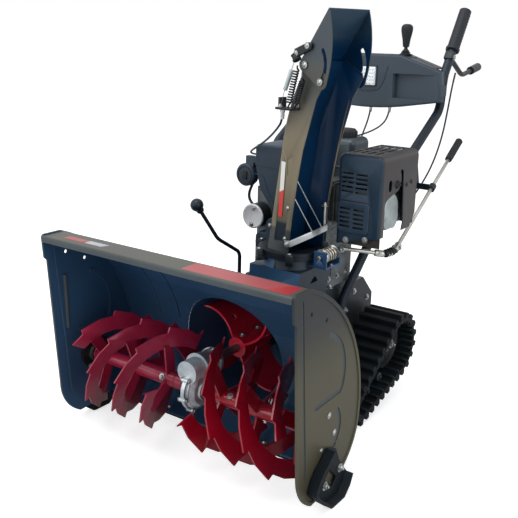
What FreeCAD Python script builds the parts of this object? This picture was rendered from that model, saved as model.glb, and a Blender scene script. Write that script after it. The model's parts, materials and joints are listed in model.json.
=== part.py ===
"""Tracked two-stage snow blower, in millimetres.

Build coordinates: X runs to the operator's left, Y runs back from the front lip of the auger housing and
Z rises from the ground. Each sub-part's Placement then moves it by -origin_back along Y, so that the
machine's origin lies on the ground under the middle of its length.
"""
import FreeCAD, Part
import math
import os
import Sketcher

V = FreeCAD.Vector
Rotation = FreeCAD.Rotation

# Driving dimensions: every cell holds one plain number.
SIZES = {
    # machine
    "origin_back": 616, "sheet_wall": 3,
    # auger housing
    "housing_width": 710, "side_wall": 3, "auger_back": 150, "auger_rise": 175, "auger_tip": 135,
    "wrap_gap": 6, "wrap_lean": 5.4, "back_arc": 343, "housing_top": 515, "wrap_start": 68,
    "plate_margin": 1.5, "plate_lip": 6, "plate_lead": 2, "plate_step": 8, "plate_step_rise": 455,
    "plate_low": 36, "plate_low_rise": 124, "lobe_back": 96, "lobe_rise": 26, "lobe_arc": 108,
    "bead_width": 8.5, "bead_height": 2.5, "groove_depth": 1.8, "groove_half": 6, "crease_half": 3.5,
    "loop_arc": 105, "hook_arc": 58,
    "cutter_hole": 4.5, "cutter_front": 71, "cutter_front_rise": 465, "cutter_rear": 131,
    "cutter_rear_rise": 436,
    "beam_depth": 66, "beam_round": 5, "lip_drop": 15,
    "scraper_front": 56, "scraper_depth": 58, "scraper_thick": 8, "scraper_side_gap": 4,
    # skid shoes
    "shoe_thick": 5, "shoe_runner": 18, "shoe_back": 100,
    # impeller drum and collar
    "impeller_rise": 226, "drum_tip": 148, "drum_front": 240, "drum_rear": 450,
    "ring_side": 105, "ring_back": 380, "ring_turn": -13, "collar_top": 478, "collar_outer": 72,
    "collar_wall": 3, "neck_height": 24, "slot_width": 128, "slot_half": 62, "flange_outer": 78,
    "flange_thick": 9,
    # augers
    "shaft_radius": 10, "shaft_play": 0.08, "bearing_outer": 45, "bearing_thick": 6, "bearing_hub": 22,
    "bearing_reach": 16, "tube_radius": 19, "tube_start": 34, "tube_stop": 334,
    "ribbon_pitch": 276, "ribbon_start": 48, "ribbon_turn": 357, "ribbon_inner": 84, "ribbon_thick": 4,
    "ribbons": 3, "left_phase": 17, "right_phase": 38, "teeth": 9, "tooth_drop": 14, "tooth_back": 9,
    "strut_width": 30, "strut_thick": 5,
    # auger gearbox
    "gear_round": 50, "gear_shoulder": 36, "gear_half": 22, "gear_hub": 24, "gear_reach": 28,
    "gear_rim": 55, "gear_rim_half": 5, "gear_bosses": 7, "boss_radius": 5.5, "boss_half": 9,
    "neck_radius": 28, "neck_front": 112, "neck_rear": 210,
    # impeller
    "impeller_tip": 140, "blades": 4, "blade_turn": 28, "blade_front": 306, "blade_rear": 424,
    "blade_thick": 5, "blade_arm": 50, "scoop_arc": 84, "scoop_sweep": 68, "blade_hole": 8,
    "hub_radius": 26, "impeller_shaft": 11, "rear_shaft_end": 462,
    "rear_bearing": 38, "rear_bearing_thick": 10,
    # chute and deflector
    "chute_gap": 0.3, "chute_wall": 2.5, "chute_half": 60, "swivel_outer": 80, "swivel_thick": 8,
    "chute_corner": 8, "panel_depth": 1.2, "pivot_reach": 88, "pivot_rise": 926, "pivot_radius": 4,
    "pin_play": 0.1, "guide_arc": 58, "guide_low": -36, "guide_high": 33, "guide_half": 5,
    "cap_side_gap": 0.8, "hoop_arc": 66, "hoop_rise": 528, "hoop_height": 14, "hoop_wire": 1.6,
    "arm_thick": 8, "spring_radius": 7, "spring_gap": 9, "cable_radius": 2.6,
    # engine
    "engine_front": 502, "engine_rear": 640, "engine_base": 352, "engine_top": 600, "engine_left": 130,
    "engine_right": 85, "cylinder_front": 455, "cylinder_rear": 575, "cylinder_low": 552,
    "cylinder_high": 640, "cylinder_end": 294, "fins": 8, "fin_rim": 8, "fin_thick": 3, "fin_pitch": 16,
    "cover_thick": 18, "guard_wall": 2.5, "guard_inner": 203, "guard_outer": 318, "guard_front": 418,
    "guard_rear": 605, "guard_low": 511, "guard_slope": 28, "guard_top": 728, "guard_corner": 16,
    "guard_soft": 9, "panel_rise": 542, "panel_top": 619, "panel_reach": 5,
    "tank_front": 584, "tank_rear": 676, "tank_top": 736, "tank_left": 150, "tank_right": 70,
    "tank_wall": 2, "tank_soft": 16, "cap_radius": 30, "cap_height": 20, "cap_side": 100,
    "air_side": 66, "air_front": 460, "air_rear": 562, "air_top": 718, "cover_wall": 2.5,
    "shroud_rear": 672, "shroud_half": 108, "shroud_side": 10, "shroud_rise": 480, "shroud_wall": 2,
    "starter_radius": 32, "starter_side": -70, "starter_rise": 527, "starter_front": 460,
    "switch_side": -105, "switch_rise": 631, "switch_radius": 30, "switch_front": 474,
    "recoil_radius": 84, "recoil_depth": 38,
    # chassis
    "belt_front": 467, "belt_top": 530, "belt_low": 200, "chassis_half": 120,
    "chassis_rear": 800, "chassis_low": 110, "chassis_top": 330, "chassis_wall": 4,
    # tracks
    "track_inner": 140, "track_outer": 255, "rear_wheel_back": 735, "rear_wheel_rise": 153,
    "front_wheel_back": 520, "front_wheel_rise": 48, "rear_loop": 97, "front_loop": 48,
    "lug_height": 14, "lug_length": 16, "belt_thick": 10, "lugs": 28, "wheel_gap": 0.3,
    "wheel_inset": 25, "wheel_width": 45, "wheel_windows": 6, "window_radius": 15,
    "axle_radius": 12, "idler_axle": 8, "rail_thick": 6,
    # handles and controls
    "handle_foot_back": 590, "handle_foot_rise": 190, "handle_half": 215, "handle_radius": 12.5,
    "handle_wall": 2, "grip_radius": 17, "grip_length": 125, "lever_pad": 12,
    "console_front": 920, "console_rear": 998, "console_half": 232, "console_wall": 3, "console_soft": 7,
    "console_pass": 945, "wing_depth": 18, "lamp_half": 30, "lamp_low": 850, "lamp_high": 902,
    "lamp_reach": 9,
    "worm_radius": 19, "worm_half": 28, "worm_gap": 1, "worm_rise": 490, "worm_shaft": 5,
    "worm_plate": 4, "crank_joint": 300, "crank_side": 262, "crank_radius": 5, "crank_grip": 11, "lever_radius": 5,
    "knob_radius": 17,
}


class Size:
    """A number that remembers its formula over the sheet's cells, for setExpression."""

    def __init__(self, number, formula):
        self.number = float(number)
        self.formula = formula

    def __float__(self):
        return self.number

    def __add__(self, other):
        other = size(other)
        return Size(self.number + other.number, f"({self.formula} + {other.formula})")

    def __sub__(self, other):
        other = size(other)
        return Size(self.number - other.number, f"({self.formula} - {other.formula})")

    def __mul__(self, other):
        other = size(other)
        return Size(self.number * other.number, f"({self.formula} * {other.formula})")

    def __truediv__(self, other):
        other = size(other)
        return Size(self.number / other.number, f"({self.formula} / {other.formula})")

    def __neg__(self):
        return Size(-self.number, f"(-1 * {self.formula})")

    def __radd__(self, other):
        return size(other) + self

    def __rsub__(self, other):
        return size(other) - self

    def __rmul__(self, other):
        return size(other) * self


def size(value):
    """A Size for a plain number; a Size stays as it is."""
    return value if isinstance(value, Size) else Size(value, repr(float(value)))


def root(value):
    return Size(math.sqrt(value.number), f"sqrt({value.formula})")


def cosine(degrees):
    degrees = size(degrees)
    return Size(math.cos(math.radians(degrees.number)), f"cos({degrees.formula} * 1 deg)")


def sine(degrees):
    degrees = size(degrees)
    return Size(math.sin(math.radians(degrees.number)), f"sin({degrees.formula} * 1 deg)")


doc = FreeCAD.newDocument("SnowBlower")
sheet = doc.addObject("Spreadsheet::Sheet", "Params")
for row, (alias, number) in enumerate(SIZES.items(), start=1):
    sheet.set(f"A{row}", alias)
    sheet.set(f"B{row}", str(number))
    sheet.setAlias(f"B{row}", alias)
doc.recompute()


class Cells:
    """Reads a cell as a Size: p.housing_width."""

    def __getattr__(self, alias):
        return Size(sheet.get(alias), f"Params.{alias}")


p = Cells()
nodes = {}


# ---------------------------------------------------------------- helpers

def vec(x, y, z):
    return V(float(x), float(y), float(z))


def bind(target, **formulas):
    """Binds each property to a formula over the sheet."""
    for prop, value in formulas.items():
        target.setExpression(prop, size(value).formula)


places = {}


def stand(target, x, y, z, rotation=None):
    """Binds the target's place and turns it."""
    places[target.Name] = (x, y, z)
    target.Placement = FreeCAD.Placement(vec(x, y, z), rotation or Rotation())
    for axis, value in zip("xyz", (x, y, z)):
        target.setExpression(f"Placement.Base.{axis}", size(value).formula)
    return target


ALONG = {"x": Rotation(V(0, 1, 0), 90), "y": Rotation(V(1, 0, 0), -90), "z": Rotation()}


def rod(radius, length, x, y, z, along="z"):
    """A round bar that starts at (x, y, z) and runs along an axis or a Rotation of +Z."""
    target = doc.addObject("Part::Cylinder", "Rod")
    bind(target, Radius=radius, Height=length)
    return stand(target, x, y, z, ALONG[along] if isinstance(along, str) else along)


def cone(radius, end_radius, length, x, y, z, along="z"):
    """A round taper that starts at (x, y, z) and runs along an axis."""
    target = doc.addObject("Part::Cone", "Cone")
    bind(target, Radius1=radius, Radius2=end_radius, Height=length)
    return stand(target, x, y, z, ALONG[along])


def bar(x_from, x_to, y_from, y_to, z_from, z_to):
    """A block between six planes."""
    target = doc.addObject("Part::Box", "Bar")
    bind(target, Length=size(x_to) - x_from, Width=size(y_to) - y_from, Height=size(z_to) - z_from)
    return stand(target, x_from, y_from, z_from)


def fused(*solids):
    target = doc.addObject("Part::MultiFuse", "Fused")
    target.Shapes = list(solids)
    return target


def cut(base, *tools):
    target = doc.addObject("Part::Cut", "Cut")
    target.Base = base
    target.Tool = tools[0] if len(tools) == 1 else fused(*tools)
    return target


def common(first, second):
    target = doc.addObject("Part::MultiCommon", "Common")
    target.Shapes = [first, second]
    return target


def mirrored(source):
    """The same piece on the other side of the machine."""
    target = doc.addObject("Part::Mirroring", "Mirror")
    target.Source = source
    target.Base = V(0, 0, 0)
    target.Normal = V(1, 0, 0)
    return target


def pair(name, source):
    """Registers like pieces on both sides of the machine as one sub-part."""
    target = doc.addObject("Part::Compound", "Pair")
    target.Links = [source, mirrored(source)]
    return hold(name, target)


def shaped(shape, x=0, y=0, z=0):
    """A piece whose shape is worked out here from the sheet and then set at (x, y, z)."""
    target = doc.addObject("Part::Feature", "Shaped")
    target.Shape = shape
    return stand(target, x, y, z)


def hold(name, target):
    """Registers a sub-part: its Label is its name and its Placement moves it to the machine's origin."""
    target.Label = name
    if target.TypeId != "Part::Mirroring":
        x, y, z = places.get(target.Name, (0, 0, 0))
        stand(target, x, y - p.origin_back, z, target.Placement.Rotation)
    nodes[name] = target
    return target


def hold_on_chute(name, target):
    """Registers a sub-part drawn about the chute's own axis, with X along the throw."""
    target.Label = name
    stand(target, p.ring_side, p.ring_back - p.origin_back, 0, Rotation(V(0, 0, 1), float(p.ring_turn)))
    target.setExpression("Placement.Rotation.Angle", (-p.ring_turn).formula)
    target.Placement.Rotation.Axis = V(0, 0, -1)
    nodes[name] = target
    return target


# ---------------------------------------------------------------- sketches

def plane_of(body, role):
    return next(item for item in body.Origin.OriginFeatures if item.Role == role)


def arc_between(start, end, radius):
    """The short arc from start to end; a positive radius keeps its centre on the left."""
    chord = end - start
    middle = (start + end) * 0.5
    height = math.sqrt(max(radius * radius - chord.Length ** 2 / 4, 0.0))
    left = V(-chord.y, chord.x, 0).normalize()
    centre = middle + left * (height if radius > 0 else -height)
    circle = Part.Circle(centre, V(0, 0, 1), abs(radius))
    first, last = (start, end) if radius > 0 else (end, start)
    angles = [math.atan2(tip.y - centre.y, tip.x - centre.x) for tip in (first, last)]
    return Part.ArcOfCircle(circle, *angles)


def draw_outline(sketch, outline):
    """A closed outline of corners (a, b); a third value is the radius of the arc to the next corner."""
    corners = [vec(corner[0], corner[1], 0) for corner in outline]
    begin = sketch.GeometryCount
    starts, ends = [], []
    for index, corner in enumerate(outline):
        here, there = corners[index], corners[(index + 1) % len(corners)]
        edge = begin + index
        if len(corner) == 3:
            radius = float(corner[2])
            sketch.addGeometry(arc_between(here, there, radius))
            number = sketch.addConstraint(Sketcher.Constraint("Radius", edge, abs(radius)))
            length = corner[2] if radius > 0 else -size(corner[2])
            sketch.setExpression(f"Constraints[{number}]", size(length).formula)
            starts.append((edge, 1 if radius > 0 else 2))
            ends.append((edge, 2 if radius > 0 else 1))
        else:
            sketch.addGeometry(Part.LineSegment(here, there))
            starts.append((edge, 1))
            ends.append((edge, 2))
    for index, corner in enumerate(outline):
        following = starts[(index + 1) % len(starts)]
        sketch.addConstraint(Sketcher.Constraint("Coincident", *ends[index], *following))
        fix_point(sketch, starts[index], corner)


def slot(a, b, a_end, b_end, half):
    """A straight slot between two centres; its ends are a little flatter than half circles."""
    run, lift = size(a_end) - a, size(b_end) - b
    length = root(run * run + lift * lift)
    across, up = -(lift / length) * half, run / length * half
    bow = size(half) * 1.04
    return [(a - across, b - up), (a_end - across, b_end - up, bow),
            (a_end + across, b_end + up), (a + across, b + up, bow)]


def arc_slot(a, b, arc, half, start, end):
    """A slot that runs round (a, b) between two angles, counted up from the sketch's first axis."""
    bow = size(half) * 1.04

    def at(radius, degrees):
        return a + radius * cosine(degrees), b + radius * sine(degrees)

    return [(*at(arc + half, start), arc + half), (*at(arc + half, end), bow),
            (*at(arc - half, end), -(arc - half)), (*at(arc - half, start), bow)]


def fix_point(sketch, point, place):
    for kind, value in zip(("DistanceX", "DistanceY"), place):
        number = sketch.addConstraint(Sketcher.Constraint(kind, -1, 1, *point, float(value)))
        sketch.setExpression(f"Constraints[{number}]", size(value).formula)


def draw_hole(sketch, a, b, radius):
    circle = Part.Circle(vec(a, b, 0), V(0, 0, 1), float(radius))
    edge = sketch.addGeometry(circle)
    fix_point(sketch, (edge, 3), (a, b))
    number = sketch.addConstraint(Sketcher.Constraint("Radius", edge, float(radius)))
    sketch.setExpression(f"Constraints[{number}]", size(radius).formula)


def sketch_in(body, role, offset, outlines=(), holes=()):
    """A sketch on one of the body's planes, lifted along its normal."""
    sketch = body.newObject("Sketcher::SketchObject", "Sketch")
    sketch.AttachmentSupport = [(plane_of(body, role), "")]
    sketch.MapMode = "FlatFace"
    sketch.setExpression("AttachmentOffset.Base.z", size(offset).formula)
    for outline in outlines:
        draw_outline(sketch, outline)
    for hole in holes:
        draw_hole(sketch, *hole)
    return sketch


def new_body():
    return doc.addObject("PartDesign::Body", "Body")


def pad(body, sketch, length, midplane=False, reverse=False):
    feature = body.newObject("PartDesign::Pad", "Pad")
    feature.Profile = sketch
    feature.Midplane = midplane
    feature.Reversed = reverse
    bind(feature, Length=length)
    doc.recompute()
    return feature


def pocket(body, sketch, length, midplane=False, reverse=False):
    before = body.Shape.Volume
    feature = body.newObject("PartDesign::Pocket", "Pocket")
    feature.Profile = sketch
    feature.Midplane = midplane
    feature.Reversed = reverse
    bind(feature, Length=length)
    doc.recompute()
    if not body.Shape.Volume < before:
        raise ValueError(f"a pocket in {body.Name} removes nothing")
    return feature


def plate(role, offset, thickness, outline, holes=(), midplane=False, reverse=False):
    """A body with one padded outline."""
    body = new_body()
    pad(body, sketch_in(body, role, offset, [outline], holes), thickness, midplane, reverse)
    return body


def soften(body, radius, chosen=None):
    """Rounds the body's edges whose middle the test picks, or all of them."""
    shape = body.Shape
    names = []
    for number, edge in enumerate(shape.Edges, start=1):
        middle = edge.valueAt((edge.FirstParameter + edge.LastParameter) / 2)
        if chosen is None or chosen(middle):
            names.append(f"Edge{number}")
    base = body.Tip
    feature = body.newObject("PartDesign::Fillet", "Fillet")
    feature.Base = (base, names)
    bind(feature, Radius=radius)
    doc.recompute()
    return body


def soft_block(x_from, x_to, y_from, y_to, z_from, z_to, radius):
    """A block with all its edges rounded."""
    corners = [(x_from, y_from), (x_to, y_from), (x_to, y_to), (x_from, y_to)]
    return soften(plate("XY_Plane", z_from, size(z_to) - z_from, corners), radius)


def soft_disc(radius, y_from, y_to, x, z, softness):
    """A round pad along Y whose rear edge is rounded."""
    body = new_body()
    pad(body, sketch_in(body, "XZ_Plane", -size(y_to), holes=[(x, z, radius)]), size(y_to) - y_from)
    return soften(body, softness, lambda at: abs(at.y - float(y_to)) < 0.01)


# ---------------------------------------------------------------- swept bars

def route(points, radii):
    """Straight runs joined by tangent arcs."""
    edges = []
    here = points[0]
    for index in range(1, len(points) - 1):
        corner = points[index]
        back = (points[index - 1] - corner).normalize()
        ahead = (points[index + 1] - corner).normalize()
        half = math.acos(max(-1.0, min(1.0, back.dot(ahead)))) / 2
        reach = radii[index - 1] / math.tan(half)
        first, last = corner + back * reach, corner + ahead * reach
        centre = corner + (back + ahead).normalize() * (radii[index - 1] / math.sin(half))
        middle = centre + (corner - centre).normalize() * radii[index - 1]
        edges += [Part.LineSegment(here, first).toShape(), Part.Arc(first, middle, last).toShape()]
        here = last
    edges.append(Part.LineSegment(here, points[-1]).toShape())
    return Part.Wire(edges)


def swept_bar(points, radii, radius):
    """A round bar along a route."""
    path = route(points, radii)
    heading = (points[1] - points[0]).normalize()
    ring = Part.Wire([Part.Circle(points[0], heading, radius).toShape()])
    return path.makePipeShell([ring], True, False)


def cord_bends(points):
    """Arcs as large as the runs beside each corner allow."""
    radii = []
    for index in range(1, len(points) - 1):
        back = points[index - 1] - points[index]
        ahead = points[index + 1] - points[index]
        turn = math.pi - back.getAngle(ahead)
        radii.append(0.45 * min(back.Length, ahead.Length) / math.tan(turn / 2))
    return radii


# ---------------------------------------------------------------- auger housing

wrap_radius = p.auger_tip + p.wrap_gap + p.sheet_wall
hub_shift = p.back_arc - wrap_radius
back_centre = (p.auger_back - hub_shift * cosine(p.wrap_lean), p.auger_rise + hub_shift * sine(p.wrap_lean))


def back_curve(inset, height):
    """How far back the housing's rear arc lies at a height."""
    radius = p.back_arc - inset
    rise = height - back_centre[1]
    return back_centre[0] + root(radius * radius - rise * rise)


def belly(inset, degrees):
    """A point of the round belly about the auger's axis, the angle counted down from the rear."""
    radius = wrap_radius - inset
    return p.auger_back + radius * cosine(degrees), p.auger_rise - radius * sine(degrees)


def make_wrap():
    """The rolled sheet behind and under the augers, with the impeller's opening."""
    top = p.housing_top
    wall = p.sheet_wall
    outline = [
        (p.wrap_start, p.auger_rise - wrap_radius),
        (*belly(0, 90), wrap_radius),
        (*belly(0, p.wrap_lean), p.back_arc),
        (back_curve(0, top), top),
        (back_curve(wall, top), top, -(p.back_arc - wall)),
        (*belly(wall, p.wrap_lean), -(wrap_radius - wall)),
        belly(wall, 90),
        (p.wrap_start, p.auger_rise - wrap_radius + wall),
    ]
    half = p.housing_width / 2 - p.side_wall
    sheet_body = plate("YZ_Plane", -half, half * 2, outline)
    opening = rod(p.drum_tip, p.drum_rear - p.auger_back, 0, p.auger_back, p.impeller_rise, "y")
    hold("housing_wrap", cut(sheet_body, opening))


def plate_outline(inset):
    edge = inset - p.plate_margin
    top = p.housing_top + p.plate_lip - inset
    lead = p.plate_lead + inset
    step = p.plate_step_rise
    return [
        (lead, top - 9, -9),
        (lead + 9, top),
        (back_curve(edge, top), top, -(p.back_arc - edge)),
        (*belly(edge, p.wrap_lean), -(wrap_radius - edge)),
        belly(edge, 90),
        (p.lobe_back + inset * 0.44, p.lobe_rise + inset * 0.9, -(p.lobe_arc - inset)),
        (p.plate_low + inset, p.plate_low_rise),
        (lead + p.plate_step + 4, step),
        (lead + 4, step + 8),
    ]


def press(body, outer, outline):
    """Presses a groove into the plate's outer face, which stands up inside."""
    pocket(body, sketch_in(body, "YZ_Plane", outer, [outline]), p.groove_depth)
    pad(body, sketch_in(body, "YZ_Plane", outer - p.side_wall, [outline]), p.groove_depth, reverse=True)


def make_side_plates():
    """Side plates with a beaded rim, pressed stiffening grooves and the drift cutters' holes."""
    outer = p.housing_width / 2
    half, crease = p.groove_half, p.crease_half
    holes = [(p.cutter_front, p.cutter_front_rise, p.cutter_hole),
             (p.cutter_rear, p.cutter_rear_rise, p.cutter_hole)]
    body = plate("YZ_Plane", outer - p.side_wall, p.side_wall, plate_outline(size(0)), holes)
    rim = [plate_outline(size(0)), plate_outline(p.bead_width)]
    pad(body, sketch_in(body, "YZ_Plane", outer, rim), p.bead_height)
    front = p.plate_lead + 34
    press(body, outer, slot(front, p.housing_top - 16, front + 36, p.plate_low_rise - 28, crease))
    back, rise = p.auger_back - 38, p.auger_rise + 125
    press(body, outer, arc_slot(back, rise, p.loop_arc, half, -23, 69))
    press(body, outer, slot(back + 93, rise - 46, back - 8, rise - 49, half))
    back, rise = p.auger_back, p.auger_rise
    press(body, outer, arc_slot(back, rise, p.hook_arc, half, -38, 38))
    press(body, outer, slot(back + 42, rise - 45, back - 18, rise - 57, half - 1))
    hold("side_plate_left", body)
    hold("side_plate_right", mirrored(body))


def make_top_beam():
    """The folded lip across the top of the housing."""
    half = p.housing_width / 2 - p.side_wall
    top, wall, bend = p.housing_top + p.sheet_wall, p.sheet_wall, p.beam_round
    outline = [
        (bend, top, bend), (0, top - bend), (0, top - p.lip_drop), (wall, top - p.lip_drop),
        (wall, top - bend, -(bend - wall)), (bend, top - wall),
        (p.beam_depth, top - wall), (p.beam_depth, top),
    ]
    hold("top_beam", plate("YZ_Plane", -half, half * 2, outline))


def make_scraper():
    half = p.housing_width / 2 - p.side_wall - p.scraper_side_gap
    top = p.auger_rise - wrap_radius
    front = p.scraper_front
    hold("scraper_bar", bar(-half, half, front, front + p.scraper_depth, top - p.scraper_thick, top))


def make_skid_shoes():
    """Shoes bolted over the side plates' rims, turned outwards along the front and the ground."""
    face = p.housing_width / 2 + p.bead_height
    back = p.shoe_back
    outline = [
        (back + 50, 140), (back + 22, 118, 90), (back - 22, 64), (back, 40), (back + 46, 2), (back + 54, 0),
        (back + 104, 0), (back + 128, 20), (back + 140, 44), (back + 128, 58), (back + 104, 88),
        (back + 86, 124),
    ]
    window = [(back + 92, 52), (back + 62, 84), (back + 44, 68), (back + 74, 36)]
    body = new_body()
    pad(body, sketch_in(body, "YZ_Plane", face, [outline, window]), p.shoe_thick)
    runner = [
        (back + 50, 140), (back + 22, 118, 90), (back - 22, 64), (back, 40), (back + 46, 2), (back + 54, 0),
        (back + 104, 0), (back + 128, 20), (back + 140, 44), (back + 134, 44), (back + 124, 24),
        (back + 102, 5), (back + 56, 5), (back + 50, 7), (back + 6, 43), (back - 14, 65, -85),
        (back + 26, 114), (back + 47, 133),
    ]
    pad(body, sketch_in(body, "YZ_Plane", face + p.shoe_thick, [runner]), p.shoe_runner)
    pair("skid_shoes", body)


def make_drum():
    """The impeller's drum, with the collar that leads from its left side up to the chute."""
    front, rear, wall = p.drum_front, p.drum_rear, p.collar_wall
    top = p.collar_top - p.neck_height
    shell = rod(p.drum_tip, rear - front, 0, front, p.impeller_rise, "y")
    hollow = rod(p.drum_tip - wall, rear - front - wall, 0, front, p.impeller_rise, "y")
    neck = rod(p.collar_outer, p.neck_height, p.ring_side, p.ring_back, top)
    throat = rod(p.collar_outer - wall, p.neck_height + 40, p.ring_side, p.ring_back, top - 39)
    inside = plate("YZ_Plane", -p.housing_width / 2, p.housing_width, inside_outline())
    bore = rod(p.impeller_shaft + p.shaft_play, 20, 0, rear - 12, p.impeller_rise, "y")
    body = fused(shell, collar(0), neck)
    hold("impeller_drum", cut(body, hollow, collar(wall), throat, inside, bore))
    bearing_front = rear - wall - p.rear_bearing_thick
    bearing = rod(p.rear_bearing, p.rear_bearing_thick, 0, bearing_front, p.impeller_rise, "y")
    seat = rod(p.impeller_shaft + p.shaft_play, 30, 0, bearing_front - 5, p.impeller_rise, "y")
    hold("impeller_bearing", cut(bearing, seat))


def inside_outline():
    """The housing's outline with its sheet, from which the drum's mouth is trimmed."""
    top = p.housing_top
    return [
        (p.wrap_start, p.auger_rise - wrap_radius),
        (*belly(0, 90), wrap_radius),
        (*belly(0, p.wrap_lean), p.back_arc),
        (back_curve(0, top), top),
        (p.wrap_start, top),
    ]


def collar(inset):
    """A four-sided duct from the drum's left side up to the neck, leaning outwards."""
    inset = float(inset)
    tip, low, high = float(p.drum_tip), float(p.impeller_rise), float(p.collar_top - p.neck_height)
    back, side, reach = float(p.ring_back), float(p.ring_side), float(p.collar_outer)

    def frame(x_from, x_to, half, rise):
        corners = [V(x_to, back + half, rise), V(x_from, back + half, rise),
                   V(x_from, back - half, rise), V(x_to, back - half, rise)]
        return Part.makePolygon(corners + corners[:1])

    slot = frame(tip - float(p.slot_width) + inset, tip - inset, float(p.slot_half) - inset, low)
    mouth = frame(side - reach + inset, side + reach - inset, reach - inset, high - inset)
    return shaped(Part.makeLoft([slot, mouth], True, True))


def make_chute_base():
    """The fixed flange that carries the chute."""
    flange = rod(p.flange_outer, p.flange_thick, p.ring_side, p.ring_back, p.collar_top)
    hole = rod(p.collar_outer - p.collar_wall, p.flange_thick + 2, p.ring_side, p.ring_back, p.collar_top - 1)
    hold("chute_base", cut(flange, hole))


# ---------------------------------------------------------------- augers

def make_auger_shaft():
    half = p.housing_width / 2 - p.side_wall - 1
    hold("auger_shaft", rod(p.shaft_radius, half * 2, -half, p.auger_back, p.auger_rise, "x"))


def make_bearings():
    wall = p.housing_width / 2 - p.side_wall
    flange = rod(p.bearing_outer, p.bearing_thick, wall - p.bearing_thick, p.auger_back, p.auger_rise, "x")
    hub = rod(p.bearing_hub, p.bearing_reach, wall - p.bearing_reach, p.auger_back, p.auger_rise, "x")
    bore = rod(p.shaft_radius + p.shaft_play, 40, wall - 30, p.auger_back, p.auger_rise, "x")
    pair("auger_bearings", cut(fused(flange, hub), bore))


def ribbon(phase):
    """One serrated helical band, lofted through a cross-section at every tip and root of its teeth."""
    inner, tip, thick = float(p.ribbon_inner), float(p.auger_tip), float(p.ribbon_thick)
    step = 360 / float(p.teeth)
    profile = ((0.0, tip), (0.06, tip - float(p.tooth_drop)), (0.45, tip - float(p.tooth_back)))
    rings = []
    for tooth in range(int(float(p.teeth))):
        for share, radius in profile:
            turn = step * (tooth + share)
            if turn <= float(p.ribbon_turn):
                rings.append(band_corners(phase, turn, inner, radius, thick))
    return solid_through(rings)


def band_corners(phase, turn, inner, outer, thick):
    """The band's four corners at one angle, the auger's axis along X; it comes forward over the top."""
    angle = math.radians(phase - turn)
    side = float(p.ribbon_start) + float(p.ribbon_pitch) * turn / 360
    corners = []
    for x, radius in ((side, inner), (side, outer), (side + thick, outer), (side + thick, inner)):
        corners.append(V(x, radius * math.sin(angle), radius * math.cos(angle)))
    return corners


def solid_through(rings):
    """A closed solid over rings of four corners, in flat three-sided faces."""
    def face(*corners):
        return Part.Face(Part.makePolygon([*corners, corners[0]]))

    first, last = rings[0], rings[-1]
    faces = [face(first[0], first[1], first[2]), face(first[0], first[2], first[3])]
    faces += [face(last[2], last[1], last[0]), face(last[3], last[2], last[0])]
    for here, there in zip(rings, rings[1:]):
        for index in range(4):
            other = (index + 1) % 4
            faces.append(face(here[index], there[index], there[other]))
            faces.append(face(here[index], there[other], here[other]))
    solid = Part.Solid(Part.makeShell(faces))
    if solid.Volume < 0:
        solid.reverse()
    return solid


def struts(phase):
    """Flat bars from the tube to the ribbon."""
    width, thick = float(p.strut_width), float(p.strut_thick)
    bars = []
    for share in (0.12, 0.5, 0.88):
        turn = float(p.ribbon_turn) * share
        side = float(p.ribbon_start) + float(p.ribbon_pitch) * turn / 360
        corner = V(side - 0.5, -width / 2, float(p.tube_radius) - 3)
        reach = float(p.ribbon_inner) + 6 - float(p.tube_radius) + 3
        flat = Part.makeBox(thick, width, reach, corner)
        flat.rotate(V(0, 0, 0), V(1, 0, 0), turn - phase)
        bars.append(flat)
    return bars


def auger(lead):
    """A tube with three serrated helical ribbons on flat bars, its first ribbon at the lead angle."""
    start, stop = float(p.tube_start), float(p.tube_stop)
    tube = Part.makeCylinder(float(p.tube_radius), stop - start, V(start, 0, 0), V(1, 0, 0))
    pieces = []
    for index in range(int(float(p.ribbons))):
        phase = lead + 360 / float(p.ribbons) * index
        pieces.append(ribbon(phase))
        pieces += struts(phase)
    bore_radius = float(p.shaft_radius + p.shaft_play)
    bore = Part.makeCylinder(bore_radius, stop - start + 2, V(start - 1, 0, 0), V(1, 0, 0))
    return shaped(tube.fuse(pieces).cut(bore), 0, p.auger_back, p.auger_rise)


def make_augers():
    """The two augers, wound opposite ways."""
    hold("auger_left", auger(float(p.left_phase)))
    right = auger(float(p.right_phase))
    stand(right, 0, p.auger_back - p.origin_back, p.auger_rise)
    hold("auger_right", mirrored(right))


def make_gearbox():
    """The worm gearbox in the middle of the auger shaft: two cast halves with a bolted rim."""
    back, rise, rim, reach = p.auger_back, p.auger_rise, p.gear_rim_half, p.gear_reach
    shoulder = cone(p.gear_round, p.gear_shoulder, p.gear_half - rim, rim, back, rise, "x")
    seam = rod(p.gear_rim, rim * 2, -rim, back, rise, "x")
    hub = rod(p.gear_hub, reach * 2, -reach, back, rise, "x")
    neck = rod(p.neck_radius, p.neck_rear - p.neck_front, 0, p.neck_front, p.impeller_rise, "y")
    taper = cone(p.gear_shoulder, p.neck_radius, 40, 0, back, p.impeller_rise, "y")
    flange = rod(p.neck_radius + 5, 8, 0, p.neck_rear - 8, p.impeller_rise, "y")
    breather = rod(p.boss_radius, p.gear_rim + 7, 0, back + 8, rise)
    bosses = []
    boss_count = int(float(p.gear_bosses))
    for index in range(boss_count):
        turn = 360 / boss_count * index - 64
        reach_out = p.gear_rim - 1
        bosses.append(rod(p.boss_radius, p.boss_half * 2, -p.boss_half, back + reach_out * cosine(turn),
                          rise + reach_out * sine(turn), "x"))
    case = fused(shoulder, mirrored(shoulder), seam, hub, neck, taper, flange, breather, *bosses)
    shaft_bore = rod(p.shaft_radius + p.shaft_play, reach * 2 + 2, -reach - 1, back, rise, "x")
    worm_bore = rod(p.impeller_shaft + p.shaft_play, 40, 0, p.neck_rear - 38, p.impeller_rise, "y")
    hold("auger_gearbox", cut(case, shaft_bore, worm_bore))


# ---------------------------------------------------------------- impeller

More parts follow.
